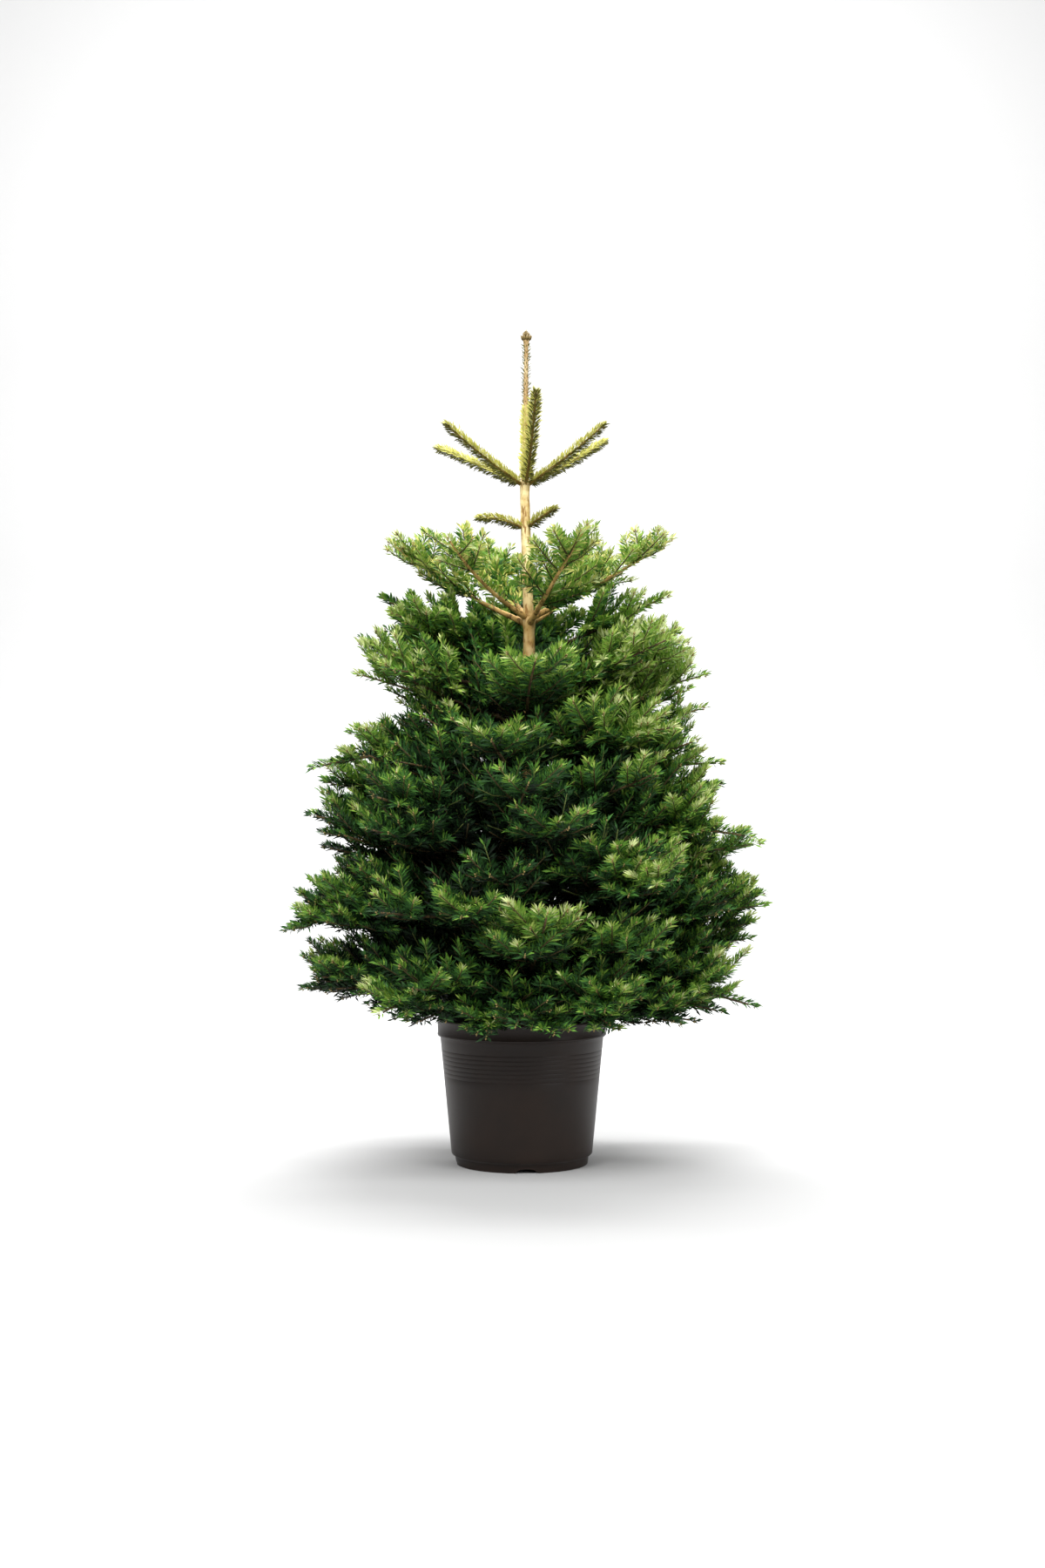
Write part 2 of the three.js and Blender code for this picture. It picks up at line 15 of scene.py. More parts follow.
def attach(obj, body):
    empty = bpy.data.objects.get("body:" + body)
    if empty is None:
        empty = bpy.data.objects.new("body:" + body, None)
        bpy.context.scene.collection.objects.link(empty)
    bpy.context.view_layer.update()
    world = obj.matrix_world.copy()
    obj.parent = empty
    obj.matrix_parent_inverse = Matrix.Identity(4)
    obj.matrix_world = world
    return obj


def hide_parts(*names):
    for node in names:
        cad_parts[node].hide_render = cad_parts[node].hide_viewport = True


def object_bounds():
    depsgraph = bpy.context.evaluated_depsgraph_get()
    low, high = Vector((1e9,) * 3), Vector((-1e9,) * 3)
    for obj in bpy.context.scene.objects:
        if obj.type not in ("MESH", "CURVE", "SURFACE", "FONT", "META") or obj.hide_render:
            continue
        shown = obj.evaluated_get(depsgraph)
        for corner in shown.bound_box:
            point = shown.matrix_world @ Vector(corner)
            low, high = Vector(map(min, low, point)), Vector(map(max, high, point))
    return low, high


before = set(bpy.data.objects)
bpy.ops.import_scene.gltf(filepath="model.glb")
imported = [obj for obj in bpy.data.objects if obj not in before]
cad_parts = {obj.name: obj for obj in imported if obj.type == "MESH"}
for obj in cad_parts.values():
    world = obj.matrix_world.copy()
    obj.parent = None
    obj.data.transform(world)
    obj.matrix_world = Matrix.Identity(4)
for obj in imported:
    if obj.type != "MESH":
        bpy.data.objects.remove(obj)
solid_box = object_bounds()
scene = bpy.context.scene
MM = 0.001
UP = Vector((0, 0, 1))

# Pot, in millimetres
POT_HEIGHT = 232
POT_RIM_RADIUS = 135.5
POT_RIM_FOOT = 205
POT_BODY_TOP_RADIUS = 130.5
POT_BODY_BOTTOM_RADIUS = 112.5
POT_BODY_FOOT = 17
POT_FOOT_RADIUS = 105.5
POT_FOOT_HEIGHT = 13
POT_WALL = 2.4
POT_FLOOR_RISE = 4
POT_FLOOR_TOP = 7
POT_PAD_RADIUS = 34
POT_SIDES = 144
NOTCH_COUNT, NOTCH_WIDTH, NOTCH_HEIGHT, NOTCH_AZIMUTH = 4, 34, 7, -86
DRAIN_COUNT, DRAIN_RADIUS, DRAIN_RING = 8, 6, 66
SOIL_LEVEL = 214
SOIL_FALL = 12
SOIL_LEVEL_RADIUS = 40

# Height on the trunk, its lean towards +X and its radius there
TRUNK_LINE = [
    (214.3, 0.0, 24.0), (224, 0.5, 18.5), (250, 1.0, 16.2), (400, 5.0, 14.6),
    (560, 9.0, 12.8), (722, 12.0, 11.0), (850, 11.5, 9.0), (862, 11.0, 10.0),
    (876, 10.5, 8.4), (1010, 6.3, 8.0), (1072, 4.6, 7.6), (1088, 5.0, 8.8),
    (1102, 5.4, 5.0), (1210, 6.2, 4.2), (1308, 7.0, 3.3), (1317, 7.0, 5.2),
    (1329, 7.0, 1.6),
]

# How every bough branches, as in the solids
SEED = 4711
LATERAL_ANGLE = 47
ANGLE_SCATTER = 14
NODE_SCATTER = 0.24
LENGTH_SCATTER = 0.3
EDGE_RAISED = 50
ROLL_SCATTER = 24
TIP_ROLL = 30
SWAY = 26
LATERAL_SHARE = 0.74
LATERAL_RISE = 0.24
LATERAL_LEAST = 12
INNER_SHADE = 0.5
BOUGH_TAPER = 0.8
STEM_TIP_RADIUS = 2.6

# Whorls: level, height, stagger, start slope, increment, bare share, bough radius, and for each bough its
# azimuth, the reach of its tip from the trunk and the lift of its tip above height
WHORLS = [
    (2, 861, 9, 0.42, 80, 0.32, 5.2,
     [(176, 226, 134), (-131, 190, 120), (-63, 196, 137), (-6, 230, 134), (55, 200, 132), (116, 200, 142)]),
    (3, 796, 10, 0.32, 76, 0.3, 4.4, [(-171, 236, 105), (-22, 234, 103), (82, 212, 96)]),
    (4, 712, 26, 0.28, 64, 0.2, 5.6,
     [(172, 275, 131), (-142, 262, 64), (-84, 226, 62), (-36, 266, 114), (16, 278, 84), (94, 250, 104)]),
    (5, 604, 36, 0.2, 70, 0.28, 6.2,
     [(158, 318, 88), (-163, 352, 24), (-101, 286, 62), (-44, 304, 84), (11, 322, 36), (84, 292, 92)]),
    (6, 500, 34, 0.1, 68, 0.2, 6.6,
     [(179, 348, 56), (-134, 332, 84), (-79, 318, 36), (-20, 368, 22), (44, 346, 38), (117, 330, 84)]),
    (7, 400, 32, 0.02, 66, 0.28, 7.0,
     [(163, 382, 24), (-156, 402, -20), (-106, 338, 8), (-52, 364, 62), (5, 388, 28), (77, 352, 60)]),
    (8, 310, 22, -0.1, 64, 0.28, 7.2,
     [(178, 356, -34), (-130, 334, -50), (-84, 330, 104), (-16, 374, -52), (46, 356, -30), (115, 350, -14)]),
    (9, 270, 12, 0.02, 60, 0.46, 5.0, [(-102, 262, -44), (-62, 274, -26), (80, 268, -30)]),
]
# The level of the top whorl, whose limbs show their bark
LIMB_SHOWS = 2
# The lowest level whose boughs stay bare near the trunk
BARE_TO_LEVEL = 3
# A skirt over the pot's rim: only the small boughs between it and the last whorl grow
SKIRT = (10, 244, 0, -0.04, 58, 0.4, 4.0,
         [(176, 300, -16), (-2, 318, -14), (-140, 290, -18), (-44, 290, -6), (60, 280, -14), (120, 280, -14)])

# Small boughs between two whorls, with more of them at the sides from one level down
BETWEEN_AZIMUTHS = [178, -52, 96, 3, -128, 52, -92, 134, -24, -158]
SIDE_AZIMUTHS = [13, -11, 168, -169]
SIDES_FROM_LEVEL = 5
BETWEEN_REACH = (0.88, 1.0)
AZIMUTH_SCATTER, LIFT_SCATTER, SLOPE_SCATTER = 20, 30, 0.16
BETWEEN_BARE, BETWEEN_RADIUS, BETWEEN_FILLS = 0.34, 3.6, (0.55, 0.55)
# Where none of them grows, so that the trunk shows: under one level, between two azimuths
TRUNK_SHOWS = 3
TRUNK_WINDOW = (-140, -20)

# Single small boughs: level, height, azimuth, reach, lift, start slope
SIDE_BOUGHS = [
    (4, 700, 180, 276, 82, 0.3), (4, 700, 0, 284, 80, 0.3), (5, 648, -5, 280, 78, 0.25),
    (5, 560, 176, 330, 52, 0.2), (6, 455, -6, 374, 56, 0.15), (7, 370, -3, 384, 42, 0.1),
    (7, 338, 5, 374, 46, 0.1), (4, 745, 88, 246, 78, 0.3), (4, 700, 62, 258, 80, 0.3),
    (4, 690, 122, 256, 80, 0.3), (5, 640, 100, 262, 72, 0.25), (9, 262, -80, 266, -30, 0.0),
    (9, 258, -105, 262, -26, 0.0),
]
SIDE_INCREMENT, SIDE_FILLS, SIDE_LIGHT = 64, (0.5, 0.5), 0.03

# The crown's outline: height, and how far it reaches to the left and to the right
CROWN_OUTLINE = [
    (214, 140, 160), (241, 262, 332), (270, 344, 322), (298, 342, 345), (326, 360, 356),
    (354, 352, 374), (382, 394, 374), (410, 366, 374), (438, 342, 392), (465, 328, 344),
    (493, 330, 354), (522, 336, 368), (550, 334, 308), (578, 350, 313), (606, 350, 320),
    (634, 306, 308), (662, 286, 288), (690, 284, 266), (718, 204, 278), (746, 236, 250),
    (774, 268, 280), (802, 284, 276), (830, 276, 270), (858, 232, 244), (886, 234, 216),
    (913, 196, 190), (941, 190, 190), (969, 222, 220), (997, 226, 234), (1026, 190, 186),
    (1050, 170, 170),
]

# This year's shoots near the top: height, azimuth, reach, lift
TOP_SHOOTS = [
    (1083, -152, 140, 87), (1083, 160, 152, 71), (1083, -80, 99, 132), (1083, -26, 138, 87),
    (1083, 21, 140, 81), (1013, -160, 80, 15), (1015, -42, 62, 26),
]
TOP_SHOOT_NODE = 1087
TOP_SHOOT_SLOPE, TOP_SHOOT_RADII, TOP_SHOOT_BARE = 0.5, (2.7, 1.6), 0.04
# Longer than any of this year's shoots, whose needles all count as new
ONE_YEAR = 400

# Side shoots. The finer ones end further in, so that the coarser ones stand out singly
SHOOT_RISE = (0.08, 0.3)
REACH_LIMIT = 1.08
REACH_STEP = 0.055
NEEDLE_ROOM = 9
# What a shoot that reaches too far is cut to, the shortest one, and the longest of two spans
SHOOT_CUT, SHOOT_LEAST, SHOOT_LONG = 0.8, 20, 70
SHOOT_STRAY = 0.05
SHOOT_RADIUS, SHOOT_THICKENS, SHOOT_TIP_RADIUS = 0.95, 0.006, 0.8
LAST_ORDER = 3
# How far out a shoot of the second order has to end to branch, and how side shoots leave it
BRANCHES_FROM = 0.75
SIDE_ANGLE, SIDE_SHARE, SIDE_LEAST = 46, 0.72, 18

# The light of each level, what single boughs have more by level and place in the whorl, and how often shoots
# over and under a bough fill the space to the next tier
LEVEL_LIGHT = {2: 0.84, 3: 0.82, 4: 0.75, 5: 0.57, 6: 0.43, 7: 0.39, 8: 0.37, 9: 0.38, 10: 0.36}
BOUGH_LIGHT = {(8, 2): 0.2, (7, 3): 0.13, (7, 2): 0.08, (6, 2): 0.06, (5, 3): 0.1}
LEVEL_FILLS = {2: (0, 0.2), 3: (0, 0.3), 4: (0.55, 0.8)}
OTHER_FILLS = (0.8, 0.75)
# Those shoots: forwards, aside, over or under, upwards, longest, length's share and least, place, light
FILL_SHOOTS = [
    (0.85, (0.1, 0.7), 1, (0.15, 0.65), 120, 0.42, 40, (0.7, 1.15), 0.03),
    (0.8, (0.15, 0.7), -1, (0.2, 0.5), 110, 0.38, 36, (0.8, 1.15), -0.1),
]
TOP_WHORL_RISE = 0.06

# Needles for each millimetre of a shoot by the years since it grew, their size and their turn in radians
NEEDLE_DENSITY = [2.25, 1.65, 0.9, 0.42, 0.2, 0.1]
NEEDLE_LENGTH, TOP_NEEDLE_LENGTH, NEEDLE_WIDTH = 20, 15.5, 2.5
NEEDLE_ROLL = 1.2
# Degrees that needles lean from a bristly shoot, and in a comb how far they hang and lean, with the scatter
BRUSH_LEAN = (46, 10)
COMB_HANG = (112, 8)
COMB_LEAN, COMB_SIDES_LEAN = (40, 5), 18
GOLDEN_ANGLE = math.radians(137.5)

# Where the crown opens against the sky and where its top whorl starts, and the needles there
OPEN_CROWN, OPEN_DENSITY = 830, 1.1
TOP_CROWN, TOP_DENSITY, GOLD_SHARE = 900, 0.55, 0.2
SKY_NEEDLE_LENGTH = 18
# Lower down: how far out a shoot stands, the share of needles that it has and how much wider they are
OUTWARD_STEPS = [0.45, 0.6, 0.8, 0.92]
DENSITY_STEPS = [0.18, 0.36, 0.64, 0.92]
WIDTH_STEPS = [1.7, 1.45, 1.15, 1.0]
# The lightest tone below a shoot's tip, the tone by the years since it grew, and how pale and long its tip is
BODY_LIGHT = 0.74
TONE_BY_AGE = [0.05, -0.07, -0.16, -0.22]
TIP_PALER, TIP_LENGTH = (0.06, 0.38), 12
# How far out a shoot has to end to bear buds
BUDS_FROM = 0.78

# Needle colours from the crown's painted shade to its newest growth, and the two sides of the top shoots
GREENS = [
    ("night", "0b170c"), ("shade", "132612"), ("deep", "1f391d"),
    ("dark", "2c5025"), ("mid", "3e6a2c"), ("leaf", "59822e"),
    ("bright", "789c3c"), ("new", "95ab50"), ("pale", "bcc788"),
]
OLIVES = {"gold": "c6c46c", "olive": "5c5c2a"}


def linear(hex_colour):
    """A linear colour for a shader's socket from an sRGB one."""
    parts = [int(hex_colour[i:i + 2], 16) / 255 for i in (0, 2, 4)]
    return [p / 12.92 if p <= 0.04045 else ((p + 0.055) / 1.055) ** 2.4 for p in parts] + [1.0]


class Surface:
    """A material with its shader, the piece's own coordinates, and short ways to add nodes to it."""

    def __init__(self, name, roughness, specular):
        self.material = bpy.data.materials.new(name)
        self.material.use_nodes = True
        self.tree = self.material.node_tree
        self.shader = self.tree.nodes["Principled BSDF"]
        self.shader.inputs["Roughness"].default_value = roughness
        self.shader.inputs["Specular IOR Level"].default_value = specular

    def node(self, kind, links=(), **values):
        """A node of a kind: links are a socket's name or number and what feeds it, values its numbers."""
        node = self.tree.nodes.new(kind)
        for socket, source in links:
            self.tree.links.new(source, node.inputs[socket])
        for socket, value in values.items():
            node.inputs[socket.replace("_", " ")].default_value = value
        return node

    def coordinates(self):
        return self.node("ShaderNodeTexCoord").outputs["Object"]

    def clouds(self, place, scale, detail):
        return self.node("ShaderNodeTexNoise", [("Vector", place)], Scale=scale, Detail=detail).outputs["Fac"]

    def ramp(self, share, *stops):
        """Two stops of a share, each with its colour."""
        node = self.node("ShaderNodeValToRGB", [("Fac", share)])
        for element, (position, colour) in zip(node.color_ramp.elements, stops):
            element.position = position
            element.color = linear(colour)
        return node.outputs["Color"]

    def mix(self, share, base, colour):
        """The base with a share of a colour over it."""
        node = self.tree.nodes.new("ShaderNodeMix")
        node.data_type = "RGBA"
        self.tree.links.new(share, node.inputs[0])
        self.tree.links.new(base, node.inputs[6])
        node.inputs[7].default_value = linear(colour)
        return node.outputs[2]

    def finish(self, colour, height, strength, distance):
        """Feeds the shader its colour, and its relief from a height."""
        bump = self.node("ShaderNodeBump", [("Height", height)], Strength=strength, Distance=distance)
        self.tree.links.new(colour, self.shader.inputs["Base Color"])
        self.tree.links.new(bump.outputs["Normal"], self.shader.inputs["Normal"])
        return self.material


def plain_material(name, hex_colour, roughness, specular):
    """One colour all over, set on the shader's own sockets."""
    surface = Surface(name, roughness, specular)
    surface.shader.inputs["Base Color"].default_value = linear(hex_colour)
    return surface.material


def finish_piece(piece, material, slot, *nodes):
    """Gives a piece its material, its body and the nodes that it stands for. Its slot is not used."""
    piece.data.materials.clear()
    piece.data.materials.append(material)
    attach(piece, "root")
    if nodes:
        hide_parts(*nodes)


def into_scene(name, data):
    added = bpy.data.objects.new(name, data)
    scene.collection.objects.link(added)
    return added


def object_from_bmesh(name, shape, smooth=True):
    mesh = bpy.data.meshes.new(name)
    shape.to_mesh(mesh)
    shape.free()
    if smooth:
        mesh.shade_smooth()
    return into_scene(name, mesh)


def object_from_arrays(name, points, loops, sizes, smooth=False):
    """One joined mesh: points in millimetres, the faces' corners one after another, and each face's size."""
    mesh = bpy.data.meshes.new(name)
    mesh.vertices.add(len(points))
    mesh.vertices.foreach_set("co", (points * MM).astype(np.float32).ravel())
    mesh.loops.add(len(loops))
    mesh.loops.foreach_set("vertex_index", loops.astype(np.int32))
    mesh.polygons.add(len(sizes))
    starts = np.concatenate(([0], np.cumsum(sizes)[:-1])).astype(np.int32)
    mesh.polygons.foreach_set("loop_start", starts)
    mesh.polygons.foreach_set("use_smooth", np.full(len(sizes), smooth))
    mesh.update(calc_edges=True)
    return into_scene(name, mesh)


# Growth

class Stream:
    """A repeatable stream of numbers from 0 to 1, the one that the solids draw from."""

    def __init__(self, seed):
        self.state = seed % 2 ** 32

    def __call__(self):
        self.state = (self.state * 1664525 + 1013904223) % 2 ** 32
        return self.state / 2 ** 32

    def around(self, spread):
        return (self() - 0.5) * spread

    def between(self, low, high):
        return low + (high - low) * self()


def along_trunk(z, column):
    return float(np.interp(z, [p[0] for p in TRUNK_LINE], [p[column] for p in TRUNK_LINE]))


def crown_radius(z, turned):
    """The crown's radius at a height, between its left side (turned = -1) and its right side (1)."""
    heights = [row[0] for row in CROWN_OUTLINE]
    left, right = (float(np.interp(z, heights, [row[side] for row in CROWN_OUTLINE])) for side in (1, 2))
    return (left + right) / 2 + (right - left) / 2 * turned


class BoughLine:
    """A curve that leaves the trunk at start_slope and bends up or down to its tip."""

    def __init__(self, height, azimuth, reach, lift, start_slope, sway):
        turn = math.radians(azimuth)
        self.root = Vector((along_trunk(height, 1), 0, height))
        self.out = Vector((math.cos(turn), math.sin(turn), 0))
        self.across = Vector((-math.sin(turn), math.cos(turn), 0))
        self.reach, self.lift, self.start_slope, self.sway = reach, lift, start_slope, sway
        steps = 24
        self.length = sum((self.point((i + 1) / steps) - self.point(i / steps)).length for i in range(steps))

    def point(self, u):
        start = self.start_slope * self.reach
        rise = start * u + (self.lift - start) * u * u
        sideways = self.sway * math.sin(math.pi * u)
        return self.root + self.out * (self.reach * u) + self.across * sideways + UP * rise

    def frame(self, u):
        along = (self.point(u + 0.01) - self.point(u - 0.01)).normalized()
        across = UP.cross(along).normalized()
        return self.point(u), along, across, along.cross(across)


class Shoot:
    """An axis with needles: its points, how it faces, its radii at root and tip, and its light."""

    def __init__(self, points, up, radii, increment, light, order, bare=0.0, needle_length=NEEDLE_LENGTH):
        self.points, self.up, self.radii, self.increment = points, up, radii, increment
        self.light, self.order, self.bare, self.needle_length = light, order, bare, needle_length
        self.length = sum((b - a).length for a, b in zip(points, points[1:]))

    def at(self, distance):
        """The point at a distance from the root, and the direction there."""
        for a, b in zip(self.points, self.points[1:]):
            span = (b - a).length
            if distance <= span or b is self.points[-1]:
                return a.lerp(b, min(1.0, distance / span)), (b - a).normalized()
            distance -= span


shoots = []
limb_lines = []


def outwardness(point):
    """0 at the trunk, 1 at the crown's outline."""
    distance = math.hypot(point.x, point.y)
    return distance / crown_radius(point.z, point.x / max(distance, 1))


def over_pot(point, margin=4):
    """Whether a point lies inside the pot or the air over its soil."""
    return math.hypot(point.x, point.y) < POT_RIM_RADIUS + margin and point.z < POT_HEIGHT + margin


def past_reach(point, order):
    """Whether a shoot's tip would carry its needles past the crown or the solids' own box."""
    low, high = solid_box
    sides = any(not low[k] / MM + NEEDLE_ROOM < point[k] < high[k] / MM - NEEDLE_ROOM for k in (0, 1))
    return sides or outwardness(point) > REACH_LIMIT - REACH_STEP * order


def grow(root, direction, up, length, increment, light, order, rng, rise=None):
    """A shoot that turns up towards its tip, with a pair of side shoots of its own at each year's node."""
    if rise is None:
        rise = SHOOT_RISE[0] + SHOOT_RISE[1] * max(abs(direction.x), direction.y)
    tip = root + direction * length + UP * (rise * length)
    while over_pot(tip) or past_reach(tip, order):
        length *= SHOOT_CUT
        tip = root + direction * length + UP * (rise * length)
        if length < SHOOT_LEAST:
            return
    spans = 3 if length > SHOOT_LONG else 2
    stray = Vector((rng.around(1), rng.around(1), rng.around(1))) * (SHOOT_STRAY * length)
    points = []
    for i in range(spans + 1):
        t = i / spans
        points.append(root + direction * (length * t) + UP * (rise * length * t * t) + stray * (t * (1 - t)))
    thick = SHOOT_RADIUS + SHOOT_THICKENS * length
    shoot = Shoot(points, up, (thick, SHOOT_TIP_RADIUS), increment, light, order)
    shoots.append(shoot)
    if order >= LAST_ORDER or (order == LAST_ORDER - 1 and outwardness(tip) < BRANCHES_FROM):
        return
    back = increment * (0.95 + rng.around(0.24))
    while back < length * 0.92:
        for side in (-1, 1):
            own = SIDE_SHARE * back * (1 - 0.36 * back / length) * (1 + rng.around(0.36)) + SIDE_LEAST
            angle = math.radians(SIDE_ANGLE + rng.around(16))
            place, along = shoot.at(length - back)
            across = up.cross(along).normalized()
            heading = along * math.cos(angle) + across * (side * math.sin(angle)) + up * rng.around(0.3)
            shade = light + rng.around(0.08)
            grow(place, heading.normalized(), up, own, increment * 0.94, shade, order + 1, rng)
        back += increment * (1 + rng.around(0.2))


def toward_root(line, back, share):
    """A place on a bough, from its tip towards its root by a share of a distance."""
    return line.point(1 - min(0.95, back * share / line.length))


def clothe(line, increment, bare, radius, level, random, fine, light, fills):
    """Side shoots along a bough, a pair at each year's node by the solids' rule, and shoots over and under
    it that fill the space to the next tier."""
    limb_lines.append((level, line, radius))
    tip_roll = math.radians(random.around(2 * TIP_ROLL))
    stretch = max(6, int(line.length / 16))
    first = bare * 0.75
    points = [line.point(first + (1 - first) * k / stretch) for k in range(stretch + 1)]
    _, along, _, up = line.frame(0.9)
    up = Quaternion(along, tip_roll * 0.5) @ up
    axis_radius = (radius * (1 - bare) + STEM_TIP_RADIUS * bare, 0.9)
    shoots.append(Shoot(points, up, axis_radius, increment, light + 0.06, 0))

    node = 1
    while node * increment < line.length * 0.93:
        for side in (-1, 1):
            in_solid = node * increment < line.length * (1 - bare)
            draw = random if in_solid else fine
            back = increment * (node + draw.around(NODE_SCATTER))
            angle = math.radians(LATERAL_ANGLE + draw.around(ANGLE_SCATTER))
            scatter = 1 + draw.around(LENGTH_SCATTER)
            roll = math.radians(-side * EDGE_RAISED + draw.around(ROLL_SCATTER))
            back = min(back, line.length * 0.95)
            if not in_solid and level <= BARE_TO_LEVEL:
                continue
            centre, along, across, up = line.frame(1 - back / line.length)
            shade = 1 - INNER_SHADE * (back / line.length)
            heading = along * math.cos(angle) + across * (side * math.sin(angle)) + up * LATERAL_RISE
            heading.normalize()
            length = LATERAL_SHARE * back * shade * scatter + LATERAL_LEAST
            fan_up = Quaternion(heading, roll) @ up
            here = light + fine.around(0.1)
            top_whorl = level == LIMB_SHOWS
            rise = TOP_WHORL_RISE if top_whorl else None
            grow(centre, heading, fan_up, length, increment * 0.95, here, 1, fine, rise)

            # The top whorl's combs cross: two more shoots a side at each node, and one upright near the tip
            for _ in range(2 if top_whorl else 0):
                aside = side * fine.between(0.1, 1.2)
                heading = (along * 0.8 + across * aside + up * fine.between(-0.3, 0.6)).normalized()
                own = 0.15 * back + fine.between(40, 66)
                place = toward_root(line, back, fine.between(0.4, 1.1))
                shade = here + fine.around(0.16)
                grow(place, heading, up, own, increment * 0.95, shade, 1, fine, rise)
            if top_whorl and node == 1:
                heading = (along * 0.3 + across * (side * fine.between(0.1, 0.4)) + up * 0.9).normalized()
                place = toward_root(line, back, fine.between(0.7, 1.0))
                grow(place, heading, up, fine.between(42, 62), increment, here + 0.05, 1, fine, rise)
            tilt = 0.4 + 0.6 * max(abs(line.out.x), line.out.y)
            for fill, row in zip(fills, FILL_SHOOTS):
                forwards, sideways, sign, upwards, longest, share, added, reach, lighter = row
                if fine() < fill:
                    aside = side * fine.between(*sideways) / tilt
                    lift = sign * tilt * fine.between(*upwards)
                    heading = (along * forwards + across * aside + up * lift).normalized()
                    own = min(longest, share * back * shade * (1 + fine.around(0.4)) + added)
                    place = toward_root(line, back, fine.between(*reach))
                    grow(place, heading, up, own, increment * 0.95, here + lighter, 1, fine)
        node += 1


def grow_whorl(whorl):
    level, height, stagger, start_slope, increment, bare, radius, boughs = whorl
    for i, (azimuth, reach, lift) in enumerate(boughs):
        random = Stream(SEED + 97 * level + 13 * i)
        raised = (i % 2) * stagger
        line = BoughLine(height + raised, azimuth, reach, lift - raised, start_slope, random.around(SWAY))
        fine = Stream(SEED + 7919 * level + 31 * i)
        fills = LEVEL_FILLS.get(level, OTHER_FILLS)
        light = LEVEL_LIGHT[level] + BOUGH_LIGHT.get((level, i), 0)
        clothe(line, increment, bare, radius, level, random, fine, light, fills)


def grow_between(upper, lower):
    """Small boughs from the trunk between two whorls, lower and lower as they go round."""
    fine = Stream(SEED + 613 * upper[0])
    lifts = [sum(b[2] for b in whorl[7]) / len(whorl[7]) for whorl in (upper, lower)]
    azimuths = BETWEEN_AZIMUTHS + (SIDE_AZIMUTHS if upper[0] >= SIDES_FROM_LEVEL else [])
    count = len(azimuths)
    for i, azimuth in enumerate(azimuths):
        azimuth += fine.around(AZIMUTH_SCATTER)
        down = ((i * 3 + 4) % count + 0.5) / count
        height = upper[1] + (lower[1] - upper[1]) * down
        lift = lifts[0] + (lifts[1] - lifts[0]) * down + fine.around(LIFT_SCATTER)
        reach = crown_radius(height + lift, math.cos(math.radians(azimuth))) * fine.between(*BETWEEN_REACH)
        slope = upper[3] + (lower[3] - upper[3]) * down + fine.around(SLOPE_SCATTER)
        sway = fine.around(SWAY)
        if upper[0] == TRUNK_SHOWS and TRUNK_WINDOW[0] < azimuth < TRUNK_WINDOW[1]:
            continue
        line = BoughLine(height, azimuth, reach, lift, slope, sway)
        light = (LEVEL_LIGHT[upper[0]] + LEVEL_LIGHT[lower[0]]) / 2 - 0.02
        clothe(line, lower[4], BETWEEN_BARE, BETWEEN_RADIUS, lower[0], fine, fine, light, BETWEEN_FILLS)


for whorl in WHORLS:
    grow_whorl(whorl)
for upper, lower in zip(WHORLS[1:], WHORLS[2:] + [SKIRT]):
    grow_between(upper, lower)

for level, height, azimuth, reach, lift, slope in SIDE_BOUGHS:
    fine = Stream(SEED + 1201 * level + height)
    line = BoughLine(height, azimuth, reach, lift, slope, fine.around(SWAY))
    light = LEVEL_LIGHT[level] + SIDE_LIGHT
    clothe(line, SIDE_INCREMENT, BETWEEN_BARE, BETWEEN_RADIUS, level, fine, fine, light, SIDE_FILLS)

top_shoots = []
for height, azimuth, reach, lift in TOP_SHOOTS:
    line = BoughLine(height, azimuth, reach, lift, TOP_SHOOT_SLOPE, 0)
    points = [line.point(0.03 + 0.97 * k / 10) for k in range(11)]
    top_shoots.append(Shoot(points, line.frame(0.5)[3], TOP_SHOOT_RADII, ONE_YEAR, 1.0, 0, TOP_SHOOT_BARE,
                            TOP_NEEDLE_LENGTH))


# Needles

def unit(vectors):
    return vectors / np.linalg.norm(vectors, axis=-1, keepdims=True)


class NeedleRow:
    """Where each needle of a shoot stands, the axis and the twig's radius there, and its turn and age."""

    def __init__(self, shoot, density_scale, rng):
        points = np.array(shoot.points)
        spans = np.linalg.norm(np.diff(points, axis=0), axis=1)
        marks = np.concatenate(([0], np.cumsum(spans)))
        total = marks[-1]
        places = []
        distance = shoot.bare * total
        while distance < total:
            age = min(int((total - distance) / shoot.increment), len(NEEDLE_DENSITY) - 1)
            places.append((distance, age))
            distance += 1 / (NEEDLE_DENSITY[age] * density_scale)
        self.from_root = np.array([p[0] for p in places])
        self.ages = np.array([p[1] for p in places])
        self.to_tip = total - self.from_root
        segment = np.clip(np.searchsorted(marks, self.from_root, side="right") - 1, 0, len(spans) - 1)
        share = (self.from_root - marks[segment]) / spans[segment]
        self.centre = points[segment] + (points[segment + 1] - points[segment]) * share[:, None]
        self.axis = (points[segment + 1] - points[segment]) / spans[segment][:, None]
        turns = rng.uniform(0, 2 * math.pi) + GOLDEN_ANGLE * np.arange(len(places))
        self.turns = (turns + math.pi) % (2 * math.pi) - math.pi
        self.radius = shoot.radii[0] + (shoot.radii[1] - shoot.radii[0]) * self.from_root / total


